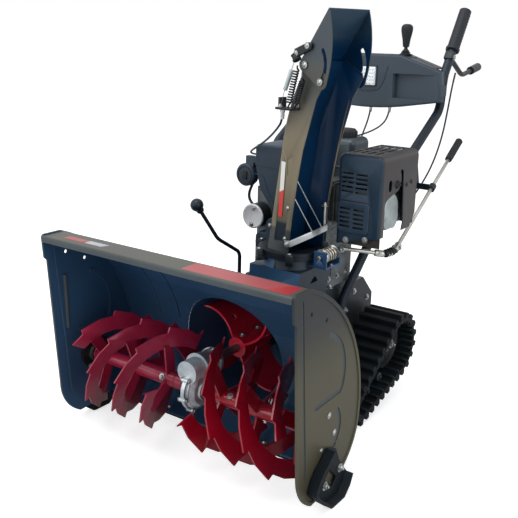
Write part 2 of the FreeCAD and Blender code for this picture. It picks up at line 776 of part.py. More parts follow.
def make_impeller():
    """Four scooped blades on a hub, each bent forwards in its turning direction."""
    rise, front, rear, thick = p.impeller_rise, p.blade_front, p.blade_rear, p.blade_thick / 2
    arm, arc, sweep = p.blade_arm, p.scoop_arc, p.scoop_sweep
    outer, inner = arc + thick, arc - thick
    outline = [
        (p.hub_radius - 6, -thick), (arm, -thick, outer),
        (arm + outer * sine(sweep), arc - outer * cosine(sweep)),
        (arm + inner * sine(sweep), arc - inner * cosine(sweep), -inner),
        (arm, thick), (p.hub_radius - 6, thick),
    ]
    parts = [rod(p.hub_radius, rear - front, 0, front, rise, "y")]
    blade_step = 360 / int(float(p.blades))
    for index in range(int(float(p.blades))):
        blade = plate("XZ_Plane", -rear, rear - front, outline)
        hole = rod(p.blade_hole, arc, arm + 24, front + 34, -arc / 2)
        turn = Rotation(V(0, 1, 0), -blade_step * index - float(p.blade_turn))
        parts.append(stand(cut(blade, hole), 0, 0, rise, turn))
    sweep_round = rod(p.impeller_tip, rear - front, 0, front, rise, "y")
    bore = rod(p.impeller_shaft, rear - front + 2, 0, front - 1, rise, "y")
    hold("impeller", cut(common(fused(*parts), sweep_round), bore))
    start = p.neck_rear - 36
    hold("impeller_shaft", rod(p.impeller_shaft, p.rear_shaft_end - start, 0, start, rise, "y"))


# ---------------------------------------------------------------- chute, drawn with X along the throw

def chute_height(share):
    """A height between the swivel ring and the deflector's pivot."""
    low = p.collar_top + p.flange_thick + p.chute_gap + p.swivel_thick
    return low + (p.pivot_rise - low) * share


def chute_outline():
    """Side outline: the back, which curves forward near its top, and the free front edge."""
    reach, rise = p.pivot_reach, p.pivot_rise
    foot = p.collar_top + p.flange_thick + p.chute_gap
    return [
        (reach - 113, foot), (reach - 39, foot), (reach - 38, chute_height(0.08)),
        (reach - 8, chute_height(0.53)), (reach + 32, chute_height(0.83)),
        (reach + 58, rise - 30), (reach + 56, rise - 18), (reach + 4, rise + 9), (reach - 7, rise + 6),
        (reach - 9, rise - 9, 420), (reach - 73, chute_height(0.55)),
    ]


def make_chute():
    """A channel on the swivel disc that turns on the base flange, its sides pressed with a panel."""
    reach, half = p.pivot_reach, p.chute_half
    channel = new_body()
    pad(channel, sketch_in(channel, "XZ_Plane", 0, [chute_outline()]), half * 2, midplane=True)
    soften(channel, p.chute_corner, on_chute_back)
    width = (half - p.chute_wall) * 2
    pocket(channel, sketch_in(channel, "XZ_Plane", 0, [chute_inner()]), width, midplane=True)
    panel = [
        (reach - 86, chute_height(0.057)), (reach - 52, chute_height(0.064)),
        (reach - 28, chute_height(0.444)), (reach - 35, chute_height(0.534)),
        (reach - 62, chute_height(0.49)), (reach - 75, chute_height(0.25)),
    ]
    pocket(channel, sketch_in(channel, "XZ_Plane", half, [panel]), p.panel_depth)
    pocket(channel, sketch_in(channel, "XZ_Plane", -half, [panel]), p.panel_depth, reverse=True)
    low = p.collar_top + p.flange_thick + p.chute_gap
    disc = rod(p.swivel_outer, p.swivel_thick, 0, 0, low)
    way = bar(reach - 113 + p.chute_wall * 1.1, reach - 42, p.chute_wall - half, half - p.chute_wall,
              low - 1, low + p.swivel_thick + 1)
    pins = chute_pins()
    hold_on_chute("chute", fused(channel, cut(disc, way), *pins))


def on_chute_back(at):
    """True for the two long edges between the chute's back and its sides, below the pivot."""
    low, high = float(p.collar_top + p.flange_thick + p.swivel_thick), float(p.pivot_rise) - 15
    lean = (at.z - low) / (high - low)
    back = float(p.pivot_reach) - 106 + 100 * lean
    return low < at.z < high and abs(abs(at.y) - float(p.chute_half)) < 0.01 and at.x < back + 12


def chute_pins():
    """The pivot pins and the guide bolts that stand out through the deflector's sides."""
    length = p.cap_side_gap + p.chute_wall * 2 + 2
    start = p.chute_half - p.chute_wall
    guide_reach = p.pivot_reach + p.guide_arc * cosine(p.guide_low)
    guide_rise = p.pivot_rise + p.guide_arc * sine(p.guide_low)
    pins = []
    for reach, rise in ((p.pivot_reach, p.pivot_rise), (guide_reach, guide_rise)):
        for side in (start, -start - length):
            pins.append(rod(p.pivot_radius, length, reach, side, rise, "y"))
    return pins


def chute_inner():
    """The channel's hollow: the side outline moved forward by the wall and open at the front."""
    reach, rise, wall = p.pivot_reach, p.pivot_rise, p.chute_wall * 1.1
    foot = p.collar_top + p.flange_thick
    return [
        (reach - 113 + wall, foot), (reach + 200, foot), (reach + 200, rise + 60),
        (reach - 9 + wall, rise + 60), (reach - 9 + wall, rise - 9, 420),
        (reach - 73 + wall, chute_height(0.55)),
    ]


def make_chute_fittings():
    """The hoop across the chute's foot with its two stays, and the tension springs on its side."""
    half, arc, reach = p.chute_half, p.hoop_arc, p.pivot_reach
    thick = p.chute_wall
    foot = reach - 28
    outline = [
        (foot - 16, -half - thick), (foot, -half - thick, arc), (foot, half + thick),
        (foot - 16, half + thick), (foot - 16, half), (foot, half, -(arc - thick)), (foot, -half),
        (foot - 16, -half),
    ]
    strap = plate("XY_Plane", p.hoop_rise, p.hoop_height, outline)
    bow, edge = float(arc - thick / 2), float(half + thick / 2)
    centre = float(foot) - math.sqrt(bow * bow - edge * edge)
    stays = []
    for side, share in ((-22, 0.27), (16, 0.37)):
        start = V(centre + math.sqrt(bow * bow - side * side), side, float(p.hoop_rise + p.hoop_height) - 3)
        end_reach = float(reach) - 38 + 30 * (share - 0.08) / 0.45
        end = V(end_reach + 1.8, 1 - float(half), float(chute_height(share)))
        run = end - start
        stays.append(rod(p.hoop_wire, run.Length, start.x, start.y, start.z, Rotation(V(0, 0, 1), run)))
    hold_on_chute("chute_hoop", fused(strap, *stays))
    springs, seats = chute_springs(), chute_springs()
    pair_of_springs = doc.addObject("Part::Compound", "Springs")
    pair_of_springs.Links = springs
    hold_on_chute("chute_springs", pair_of_springs)
    rise = p.pivot_rise - 98
    clamp = bar(reach - 64, reach - 16, -half - p.spring_gap - 20, -half, rise, rise + 5)
    ear = bar(reach - 64, reach - 58, -half - 20, -half, rise, rise + 26)
    hold_on_chute("cable_bracket", cut(fused(clamp, ear), *seats))


def chute_springs():
    """The two springs' round envelopes, beside the chute's wall and clear of the deflector."""
    springs = []
    radius, side = p.spring_radius, -p.chute_half - p.spring_radius - p.spring_gap
    for low, high in (((-37, -95), (-11, -2)), ((-17, -95), (8, -24))):
        run = V(high[0] - low[0], 0, high[1] - low[1])
        springs.append(rod(radius, run.Length, p.pivot_reach + low[0], side, p.pivot_rise + low[1],
                           Rotation(V(0, 0, 1), run)))
    return springs


def cap_outline():
    """The deflector's side outline about its pivot."""
    reach, rise = p.pivot_reach, p.pivot_rise
    return [
        (reach - 19, rise + 2.5), (reach + 62, rise + 116, -240), (reach + 63, rise - 34, -16),
        (reach + 33, rise - 42), (reach - 6, rise - 15, -18),
    ]


def make_deflector():
    """The tilting cap, a channel hinged across the chute's top, with slots that guide its tilt."""
    wall, gap = p.chute_wall, p.chute_half + p.cap_side_gap
    cap = new_body()
    pad(cap, sketch_in(cap, "XZ_Plane", 0, [cap_outline()]), (gap + wall) * 2, midplane=True)
    reach, rise = p.pivot_reach, p.pivot_rise
    inner = [
        (reach - 60, rise - 70), (reach - 60, rise - 52), (reach - 16.9, rise + 1), (reach + 80, rise + 137),
        (reach + 110, rise + 137), (reach + 110, rise - 70),
    ]
    pocket(cap, sketch_in(cap, "XZ_Plane", 0, [inner]), gap * 2, midplane=True)
    guide = arc_slot(reach, rise, p.guide_arc, p.guide_half, p.guide_low - 3, p.guide_high)
    pocket(cap, sketch_in(cap, "XZ_Plane", 0, [guide]), (gap + wall) * 2 + 10, midplane=True)
    hinge = sketch_in(cap, "XZ_Plane", 0, holes=[(reach, rise, p.pivot_radius + p.pin_play)])
    pocket(cap, hinge, (gap + wall) * 2 + 10, midplane=True)
    hold_on_chute("deflector", cap)
    arm = [
        (reach - 30, rise + 17), (reach - 24, rise + 13), (reach + 22, rise + 33), (reach + 24, rise + 44),
        (reach + 12, rise + 47), (reach - 28, rise + 32),
    ]
    hold_on_chute("deflector_arm", plate("XZ_Plane", gap + wall, p.arm_thick, arm))


# ---------------------------------------------------------------- engine

def make_engine():
    """One block: crankcase, with the finned cylinder to the operator's left."""
    case = bar(-p.engine_right, p.engine_left, p.engine_front, p.engine_rear, p.engine_base, p.engine_top)
    barrel = bar(p.engine_left - 20, p.cylinder_end, p.cylinder_front, p.cylinder_rear, p.cylinder_low,
                 p.cylinder_high)
    fins = []
    for index in range(int(float(p.fins))):
        side = p.engine_left + 30 + p.fin_pitch * index
        fins.append(bar(side, side + p.fin_thick, p.cylinder_front - p.fin_rim, p.cylinder_rear + p.fin_rim,
                        p.cylinder_low - p.fin_rim, p.cylinder_high + p.fin_rim))
    hold("engine_block", fused(case, barrel, *fins))
    end, front, low, high = p.cylinder_end, p.cylinder_front, p.cylinder_low, p.cylinder_high
    outline = [
        (front - 8, low + 16), (front + 10, low - 2), (front + 52, low - 2, 26), (front + 70, low + 24),
        (front + 66, low + 54, 40), (front + 24, high - 4, 34), (front - 4, high - 34),
    ]
    cover = plate("YZ_Plane", end, p.cover_thick, outline)
    face = float(end + p.cover_thick)
    soften(cover, 3.5, lambda at: abs(at.x - face) < 0.01)
    hold("valve_cover", cover)


def guard_face(inset, reach):
    """The guard's front outline, its upper corners rounded; the reach moves the open lower edge."""
    left, right = p.guard_inner + inset, p.guard_outer - inset
    low, top, bend = p.guard_low - reach, p.guard_top - inset, p.guard_corner - inset
    return [
        (left, low), (right, low + p.guard_slope), (right, top - bend, bend), (right - bend, top),
        (left + bend, top, bend), (left, top - bend),
    ]


def make_guard():
    """The muffler's pressed sheet guard, open below and behind, with louvres."""
    front, rear, wall, high = p.guard_front, p.guard_rear, p.guard_wall, p.cylinder_high
    outer = plate("XZ_Plane", -rear, rear - front, guard_face(size(0), 0))
    edge_low, face_back = float(p.guard_low) + 40, float(front + wall)
    soften(outer, p.guard_soft, lambda at: abs(at.y - float(front)) < 0.01 and at.z > edge_low)
    inner = plate("XZ_Plane", -(rear + 5), rear + 5 - front - wall, guard_face(wall, 8))
    soften(inner, p.guard_soft - wall, lambda at: abs(at.y - face_back) < 0.01 and at.z > edge_low)
    left, right, low, top = p.guard_inner + 5, p.guard_inner + 87, p.panel_rise, p.panel_top
    bend = 12
    panel = [
        (left, low + bend, bend), (left + bend, low), (right - bend, low, bend), (right, low + bend),
        (right, top - bend, bend), (right - bend, top), (left + bend, top, bend), (left, top - bend),
    ]
    raised = plate("XZ_Plane", -(front + wall), wall + p.panel_reach, panel)
    soften(raised, 3.5, lambda at: abs(at.y - float(front - p.panel_reach)) < 0.01)
    dent = soft_block(left + wall, right - wall, front - p.panel_reach + wall, front + 30, low + wall,
                      top - wall, 6)
    side = [
        (front + 20, p.guard_low - 12), (front + 20, high - 40, -22), (front + 36, high - 12),
        (front + 84, high, 30), (front + 92, high + 44, -8), (front + 104, high + 48),
        (front + 108, high + 42), (front + 116, high - 30), (front + 122, high - 84),
        (front + 104, p.guard_low - 12),
    ]
    window = plate("YZ_Plane", p.guard_outer - 12, 24, side)
    oval = plate("YZ_Plane", p.guard_outer - 12, 24, slot(front + 42, high + 9, front + 42, high + 24, 8))
    corner = [
        (front + 148, high - 130), (front + 148, high - 115), (rear + 8, high - 60), (rear + 8, high - 130),
    ]
    heel = plate("YZ_Plane", p.guard_inner - 5, p.guard_outer - p.guard_inner + 10, corner)
    doorway = bar(p.guard_inner - 5, p.guard_inner + 10, p.cylinder_front - 12, rear + 5, p.guard_low - 15,
                  high + 14)
    louvres = []
    for column, shift in ((p.guard_inner + 11, 0), (p.guard_inner + 47, 1)):
        for row in range(5):
            rise = high - 2 + 10.5 * row - shift
            louvres.append(bar(column, column + 30, front - 6, front + 9, rise, rise + 4.5))
            rise = low + 14 + 10.5 * row - shift
            louvres.append(bar(column, column + 28, front - 12, front + 9, rise, rise + 4.5))
    for column in range(4):
        side_from = p.guard_inner + 20 + 19 * column
        for start in (24, 78, 132):
            louvres.append(bar(side_from, side_from + 9, front + start, front + start + 42,
                               p.guard_top - 12, p.guard_top + 5))
    shell = fused(cut(outer, inner), raised)
    hold("muffler_guard", cut(shell, dent, window, oval, heel, doorway, *louvres))
    pot = soft_block(p.guard_inner + 14, p.guard_outer - 12, front + 16, rear - 30, high + p.fin_rim,
                     p.guard_top - wall - 4, 12)
    spacers = [rod(size(5), 6, p.guard_inner + 58, front + back, p.guard_top - wall - 6, "z")
               for back in (72, 126)]
    hold("muffler", fused(pot, *spacers))


def make_tank():
    """The sheet fuel tank behind the air cleaner, hollow under its filler cap."""
    left, right, front, rear = p.tank_left, -p.tank_right, p.tank_front, p.tank_rear
    low, top, wall = p.engine_top, p.tank_top, p.tank_wall
    outer = soft_block(right, left, front, rear, low, top, p.tank_soft)
    inner = soft_block(right + wall, left - wall, front + wall, rear - wall, low + wall, top - wall,
                       p.tank_soft - wall)
    middle = (front + rear) / 2
    seam = soft_block(right - 4, left + 4, front - 4, rear + 4, low + 62, low + 65, 1)
    filler = rod(p.cap_radius - 8, wall * 4, p.cap_side, middle, top - wall * 2)
    hold("fuel_tank", cut(fused(outer, seam), inner, filler))
    cap = rod(p.cap_radius, p.cap_height - 6, p.cap_side, middle, top)
    crown = cone(p.cap_radius, p.cap_radius - 5, 6, p.cap_side, middle, top + p.cap_height - 6)
    hollow = rod(p.cap_radius - 4, p.cap_height - 8, p.cap_side, middle, top - 1)
    hold("fuel_cap", cut(fused(cap, crown), hollow))


def air_face(inset):
    """The air cleaner cover's front outline, tapering down to the operator's left."""
    left, top = -p.air_side + inset, p.air_top - inset
    return [
        (left + 12, top, 12), (left, top - 12), (left, top - 55), (left + 16, top - 118 + inset),
        (left + 56, top - 168 + inset * 2), (60 - inset, top - 172 + inset * 2), (60 - inset, top),
    ]


def belt_face(inset):
    """The belt cover's front outline with its two rounded steps."""
    top, low = p.belt_top - inset, p.belt_low + inset
    return [
        (-66 + inset, low), (112 - inset, low), (112 - inset, top), (-12, top, 22 - inset),
        (-34 + inset, top - 22 + inset), (-34 + inset, top - 42), (-48, top - 42, 18 - inset),
        (-66 + inset, top - 60 + inset),
    ]


def make_engine_covers():
    """Moulded covers on the front of the engine, its starter and the fan's shroud behind."""
    front, wall = p.engine_front, p.cover_wall
    air = plate("XZ_Plane", -p.air_rear, p.air_rear - p.air_front, air_face(size(0)))
    soften(air, 6, lambda at: abs(at.y - float(p.air_front)) < 0.01)
    air_in = plate("XZ_Plane", -(p.air_rear + 5), p.air_rear + 5 - p.air_front - wall, air_face(wall))
    top = p.engine_top
    below = bar(-100, 100, front - 2, p.air_rear + 10, top - 100, top + 2)
    filled = bar(-100, 100, front - 2 - wall, p.air_rear + 10, top - 100, top + 2 + wall)
    hold("air_cover", cut(air, cut(air_in, filled), below))
    belt = plate("XZ_Plane", -front, front - p.belt_front, belt_face(size(0)))
    soften(belt, 5, lambda at: abs(at.y - float(p.belt_front)) < 0.01)
    belt_in = plate("XZ_Plane", -(front + 5), front + 5 - p.belt_front - wall, belt_face(wall))
    hold("belt_cover", cut(belt, belt_in))
    side, rise, radius = p.starter_side, p.starter_rise, p.starter_radius
    case = rod(radius, front - p.starter_front - 5, side, p.starter_front + 5, rise, "y")
    lid = cone(radius - 3, radius, 5, side, p.starter_front, rise, "y")
    hold("starter_motor", cut(fused(case, lid), starter_wire()))
    back = p.switch_front
    dial = rod(p.switch_radius, 18, p.switch_side, back, p.switch_rise, "y")
    rim = cone(p.switch_radius - 4, p.switch_radius, 4, p.switch_side, back - 4, p.switch_rise, "y")
    link = bar(p.switch_side - 2, -p.air_side, back + 3, back + 17, p.switch_rise + 33, p.switch_rise + 50)
    stem = bar(p.switch_side - 2, p.switch_side + 22, back + 3, back + 17, p.switch_rise + 14,
               p.switch_rise + 34)
    hold("starter_switch", cut(fused(dial, rim, link, stem), starter_wire()))
    make_shroud()


def make_shroud():
    """The fan's sheet shroud on the back of the engine and the recoil starter on it."""
    side, half, rise, wall = p.shroud_side, p.shroud_half, p.shroud_rise, p.shroud_wall
    start, rear = p.engine_rear, p.shroud_rear
    shroud = soft_disc(half, start, rear, side, rise, 10)
    hollow = soft_disc(half - wall, start - 5, rear - wall, side, rise, 8)
    eye = rod(p.recoil_radius - 20, 20, side, rear - 10, rise, "y")
    hold("fan_shroud", cut(shroud, hollow, eye))
    end = rear + p.recoil_depth
    dome = soft_disc(p.recoil_radius, rear, end, side, rise, 12)
    dome_in = soft_disc(p.recoil_radius - wall, rear - 5, end - wall, side, rise, 10)
    hold("recoil_starter", cut(dome, dome_in))


# ---------------------------------------------------------------- chassis and tracks

def make_chassis():
    """A folded box between the tracks, open below, and the deck that carries the engine."""
    half, wall, top, low = p.chassis_half, p.chassis_wall, p.chassis_top, p.chassis_low
    front, rear = p.drum_rear, p.chassis_rear
    side = [
        (front, low + 40), (front + 60, low), (rear - 70, low), (rear, low + 60), (rear, top - 60),
        (rear - 60, top), (front, top),
    ]
    outer = plate("YZ_Plane", -half, half * 2, side)
    inner = bar(-half + wall, half - wall, front + wall, rear + 5, low - 5, top - wall)
    bore = rod(p.axle_radius + p.shaft_play, half * 2 + 2, -half - 1, p.rear_wheel_back,
               p.rear_wheel_rise, "x")
    belt_way = bar(-p.air_side - 2, 114, p.belt_front - 2, p.engine_front, top - wall * 2, top + 1)
    shaft_way = rod(p.impeller_shaft * 2, wall * 2, 0, front - wall, p.impeller_rise, "y")
    side_cable = lever_cable()
    cables = [drop_cable(), side_cable, mirrored(side_cable)]
    hold("main_frame", cut(outer, inner, bore, belt_way, shaft_way, *cables))
    base, deck_rear = p.engine_base, p.engine_rear + 40
    deck = bar(-half, half, p.engine_front, deck_rear, top, base)
    under = bar(-half + wall, half - wall, p.engine_front + wall, deck_rear - wall, top - 1, base - wall)
    hold("engine_deck", cut(deck, under))


def loop_wire(inset, x):
    """The track's path: two wheels joined by two tangent runs."""
    rear = V(x, float(p.rear_wheel_back), float(p.rear_wheel_rise))
    front = V(x, float(p.front_wheel_back), float(p.front_wheel_rise))
    rear_radius, front_radius = float(p.rear_loop) - inset, float(p.front_loop) - inset
    along = (rear - front).normalize()
    across = V(1, 0, 0).cross(along)
    spread = math.acos((front_radius - rear_radius) / (rear - front).Length)

    def point(centre, radius, angle):
        return centre + along * (radius * math.cos(angle)) + across * (radius * math.sin(angle))

    upper = [point(front, front_radius, spread), point(rear, rear_radius, spread)]
    lower = [point(rear, rear_radius, -spread), point(front, front_radius, -spread)]
    bottom = front - V(0, 0, front_radius)
    settle = (bottom - front + lower[1] - front).normalize() * front_radius + front
    return Part.Wire([
        Part.Arc(bottom, point(front, front_radius, math.pi), upper[0]).toShape(),
        Part.LineSegment(*upper).toShape(),
        Part.Arc(upper[1], point(rear, rear_radius, 0), lower[0]).toShape(),
        Part.LineSegment(*lower).toShape(),
        Part.Arc(lower[1], settle, bottom).toShape(),
    ])


def make_tracks():
    """A rubber belt with cross lugs, one fixed loop on each side."""
    x_from, width = float(p.track_inner), float(p.track_outer) - float(p.track_inner)
    height, thick, length = float(p.lug_height), float(p.belt_thick), float(p.lug_length)
    belt = Part.Face(loop_wire(height, x_from)).cut(Part.Face(loop_wire(height + thick, x_from)))
    shape = belt.extrude(V(width, 0, 0))
    path = loop_wire(height, x_from)
    count = int(float(p.lugs))
    spots = path.discretize(count * 40 + 1)
    lugs = []
    for index in range(count):
        at = index * 40
        spot, tangent = spots[at], (spots[at + 1] - spots[at - 1 if at else -2]).normalize()
        normal = V(1, 0, 0).cross(tangent)
        corners = [
            spot - tangent * length * 0.62 - normal * 3, spot - tangent * length * 0.4 + normal * height,
            spot + tangent * length * 0.4 + normal * height, spot + tangent * length * 0.62 - normal * 3,
        ]
        lugs.append(Part.Face(Part.makePolygon(corners + corners[:1])).extrude(V(width, 0, 0)))
    shape = shape.fuse(lugs)
    left = hold("track_left", shaped(shape))
    hold("track_right", mirrored(left))


def make_wheels():
    """Spoked drive wheels on the axle, idlers at the front and the rails that hold them."""
    thick = p.lug_height + p.belt_thick + p.wheel_gap
    inner, width = p.track_inner + p.wheel_inset, p.wheel_width
    back, rise = p.rear_wheel_back, p.rear_wheel_rise
    radius = p.rear_loop - thick
    tools = [rod(p.axle_radius, width + 2, inner - 1, back, rise, "x")]
    dish = rod(radius - 9, 14, inner + width - 14, back, rise, "x")
    boss = rod(p.axle_radius + 14, 16, inner + width - 16, back, rise, "x")
    tools += [cut(dish, boss), rod(radius - 9, 14, inner, back, rise, "x")]
    window_count = int(float(p.wheel_windows))
    for index in range(window_count):
        turn = 360 / window_count * index
        reach = (radius + p.axle_radius) / 2 + 3
        tools.append(rod(p.window_radius, width + 2, inner - 1, back + reach * cosine(turn),
                         rise + reach * sine(turn), "x"))
    pair("drive_wheels", cut(rod(radius, width, inner, back, rise, "x"), *tools))
    front, low = p.front_wheel_back, p.front_wheel_rise
    idler = rod(p.front_loop - thick, width, inner, front, low, "x")
    idler_bore = rod(p.idler_axle, width + 2, inner - 1, front, low, "x")
    pair("idler_wheels", cut(idler, idler_bore))
    half = inner + width + 12
    hold("drive_axle", rod(p.axle_radius, half * 2, -half, back, rise, "x"))
    hold("idler_axle", rod(p.idler_axle, half * 2, -half, front, low, "x"))
    make_rails()


def make_rails():
    """A plate on each side of the chassis that reaches forward to the idler's axle."""
    back, rise = p.rear_wheel_back, p.rear_wheel_rise
    front, low = p.front_wheel_back, p.front_wheel_rise
    outline = [
        (back - 14, rise + 30), (front - 20, low + 22), (front - 20, low - 14), (front + 12, low - 16),
        (back + 14, rise - 34), (back + 30, rise + 10),
    ]
    holes = [(back, rise, p.axle_radius + p.shaft_play), (front, low, p.idler_axle + p.shaft_play)]
    pair("track_rails", plate("YZ_Plane", p.chassis_half, p.rail_thick, outline, holes))


# ---------------------------------------------------------------- handles and controls

def make_handles():
    """Bent tubes from the chassis up to the grips, with the console between them."""
    half, radius = float(p.handle_half), float(p.handle_radius)
    low = float(p.chassis_half) + radius
    foot, rise = float(p.handle_foot_back), float(p.handle_foot_rise)
    points = [V(low, foot, rise), V(low, foot + 8, rise + 110), V(half, 779, 675), V(half, 960, 789),
              V(half, 970, 883), V(half, 1088, 1058)]
    bends = [80, 60, 50, 60]
    inside = swept_bar(points, bends, radius - float(p.handle_wall))
    left = hold("handle_left", shaped(swept_bar(points, bends, radius).cut(inside)))
    hold("handle_right", mirrored(left))
    make_grips(points[-2], points[-1])
    make_console(points[3], points[4])


def console_face(inset):
    """The console's front outline: a hump in the middle and two wings."""
    half, rear = p.console_half - inset, -inset
    return [
        (-half, 813 - rear), (-half * 0.5, 794 - rear, 800), (half * 0.5, 794 - rear),
        (half, 813 - rear), (half - 6, 896 - inset), (half * 0.45, 937 - inset), (-half * 0.45, 937 - inset),
        (6 - half, 896 - inset),
    ]


def wing(gap):
    """The recess in a wing of the console: deepest beside the hump and level at the outer end."""
    front, near, far = p.console_front, p.console_half * 0.36, p.console_half - 16 + gap * 2
    outline = [
        (near - gap, front - 5), (far, front - 5), (far, front + gap * 0.4),
        (near - gap, front + p.wing_depth + gap),
    ]
    return plate("XY_Plane", 818 - gap, 68 + gap * 2, outline)


def make_console(low, high):
    """A moulded shell, open behind, that wraps round the front of the handle's tubes and clips to them."""
    front, rear, wall = p.console_front, p.console_rear, p.console_wall
    outer = plate("XZ_Plane", -rear, rear - front, console_face(size(0)))
    soften(outer, p.console_soft, lambda at: abs(at.y - float(front)) < 0.01)
    inner = plate("XZ_Plane", -(rear + 5), rear + 5 - front - wall, console_face(wall))
    side, end = p.handle_half - p.handle_radius - 3, p.console_half + 5
    ways = [bar(side, end, p.console_pass, rear + 5, 780, 960)]
    ways.append(bar(-end, -side, p.console_pass, rear + 5, 780, 960))
    recess, backing = wing(size(0)), wing(wall)
    hollow = cut(inner, backing, mirrored(backing))
    shell = cut(outer, hollow, recess, mirrored(recess), *ways)
    reach = p.handle_radius + 2
    clip = bar(p.handle_half - reach, p.handle_half + reach, front + wall - 1, low.y + 4, low.z + 40,
               low.z + 70)
    tube = rod(p.handle_radius + p.shaft_play, 120, low.x, low.y, low.z, Rotation(V(0, 0, 1), high - low))
    seat = cut(clip, tube)
    hold("console", cut(fused(shell, seat, mirrored(seat)), drop_cable(), tilt_cable()))


def make_grips(low, high):
    """Rubber grips over the tubes' ends, with the clutch levers under them."""
    lean = (high - low).normalize()
    along = Rotation(V(0, 0, 1), lean)
    start = high - lean * (float(p.grip_length) - 4)
    sleeve = rod(p.grip_radius, p.grip_length, start.x, start.y, start.z, along)
    core = rod(p.handle_radius + 0.05, p.grip_length - 4, start.x, start.y, start.z, along)
    pair("grips", cut(sleeve, core))
    pivot = start - lean * 30
    end = V(pivot.x, 1228, 902)
    points = [pivot, V(pivot.x, 1104, 881), end]
    lever = shaped(swept_bar(points, [60], float(p.lever_radius) + 2))
    run = (end - points[1]).normalize()
    pad_start = end - run * 58
    rubber = rod(p.lever_pad, 60, pad_start.x, pad_start.y, pad_start.z, Rotation(V(0, 0, 1), run))
    tube = rod(p.handle_radius, 120, *(pivot - lean * 60), along)
    pair("clutch_levers", cut(fused(lever, rubber), tube))


def make_console_fittings():
    """The headlight, the gear lever and its knob."""
    front, rear = p.console_front, p.console_rear
    reach = p.lamp_reach
    lamp = soft_block(-p.lamp_half, p.lamp_half, front - reach, front, p.lamp_low, p.lamp_high, 3)
    hold("headlight", lamp)
    middle = (front + rear) / 2
    stick = rod(p.lever_radius, 50, 99, middle, 937)
    knob = cone(10, 17, 40, 99, middle, 963)
    crown = cone(17, 12, 10, 99, middle, 1003)
    hold("gear_lever", fused(stick, knob, crown))


def make_worm():
    """The worm that turns the chute, in a bracket on the collar's neck."""
    side = p.ring_side + p.swivel_outer + p.worm_gap + p.worm_radius
    back, rise, half, thick = p.ring_back, p.worm_rise, p.worm_half, p.worm_plate
    floor = rise - p.worm_radius - 8
    worm = rod(p.worm_radius, half * 2, side, back - half, rise, "y")
    shaft = rod(p.worm_shaft, half * 2 + 40, side, back - half - 12, rise, "y")
    hold("chute_worm", fused(worm, shaft))
    front_ear, rear_ear = back - half - thick - 1, back + half + 1
    shelf = bar(p.ring_side + 60, side + 18, front_ear, rear_ear + thick, floor, floor + thick)
    ears = [bar(side - 16, side + 18, start, start + thick, floor, rise + 14)
            for start in (front_ear, rear_ear)]
    neck = rod(p.collar_outer + 0.1, 60, p.ring_side, back, floor - 20)
    bore = rod(p.worm_shaft + p.shaft_play, half * 2 + 60, side, back - half - 20, rise, "y")
    hold("worm_bracket", cut(fused(shelf, *ears), neck, bore))


def make_crank():
    """The rod from the worm back to the operator, with its grip and the bracket on the left handle."""
    side, radius = float(p.crank_side), float(p.crank_radius)
    start = V(float(p.ring_side + p.swivel_outer + p.worm_gap + p.worm_radius),
              float(p.ring_back + p.worm_half + 28), float(p.worm_rise))
    joint, top = V(float(p.crank_joint), 533, 473), V(side, 938, 655)
    points = [start, start + V(0, 18, 0), joint, top]
    hold("chute_crank", shaped(swept_bar(points, [16, 30], radius)))
    lean = (top - joint).normalize()
    hold("crank_grip", rod(p.crank_grip, 108, top.x, top.y, top.z, Rotation(V(0, 0, 1), lean)))
    middle = joint + lean * 303
    along = Rotation(V(0, 0, 1), lean)
    eye_start = middle - lean * 9
    eye = rod(p.crank_radius + 5, 18, eye_start.x, eye_start.y, eye_start.z, along)
    tube_side = p.handle_half + p.handle_radius
    outline = [
        (762, 652), (780, 686), (797, 675), (middle.y + 12, middle.z + 6), (middle.y - 2, middle.z - 12),
    ]
    arm = plate("YZ_Plane", tube_side, 4, outline)
    web = bar(tube_side, size(middle.x), middle.y - 3, middle.y + 3, middle.z - 8, middle.z + 8)
    bore_start = middle - lean * 30
    bore = rod(p.crank_radius + p.shaft_play, 60, bore_start.x, bore_start.y, bore_start.z, along)
    hold("crank_bracket", cut(fused(eye, arm, web), bore))


def make_height_lever():
    """The lever with a ball that sets the housing's height, on the front of the chassis."""
    points = [V(-113, 464, float(p.chassis_top)), V(-113, 464, 421), V(-130, 390, 470), V(-159, 340, 564)]
    stick = shaped(swept_bar(points, [24, 40], float(p.lever_radius)))
    ball = doc.addObject("Part::Sphere", "Ball")
    bind(ball, Radius=p.knob_radius)
    stand(ball, -159, 340, 564)
    hold("height_lever", fused(stick, ball))


def drop_cable():
    """The drive cable, from the console straight down into the chassis."""
    top, back = float(p.chassis_top), float(p.chassis_rear) - 65
    return cable([V(13, 934, 800), V(12, 932, 762), V(4, 892, 690), V(8, 852, 604), V(18, 806, 524),
                  V(30, back + 33, 450), V(36, back, 390), V(36, back, top - 6)], p.cable_radius)


def lever_cable():
    """The cable from the left clutch lever, outside the handle and then in to the chassis."""
    top, half = float(p.chassis_top), float(p.handle_half)
    return cable([V(half + 19, 1006, 891), V(half + 21, 985, 855), V(half + 22, 966, 790),
                  V(half + 21, 944, 716), V(half + 17, 900, 640), V(half + 5, 836, 572), V(188, 788, 510),
                  V(150, 746, 454), V(116, 718, 402), V(108, 712, 362), V(108, 712, top - 6)],
                 p.cable_radius)


def tilt_cable():
    """The deflector's cable, from the console round the engine to the edge of the chute's sweep."""
    joint = V(-72.4, 449.1, 738)
    return cable([V(74, 934, 802), V(73, 932, 766), V(62, 910, 736), V(30, 878, 714), V(-20, 846, 698),
                  V(-66, 800, 690), V(-98, 744, 690), V(-118, 682, 694), V(-128, 622, 700),
                  V(-127, 564, 710), V(-120, 506, 724), V(-106, 462.2, 734), joint], p.cable_radius)


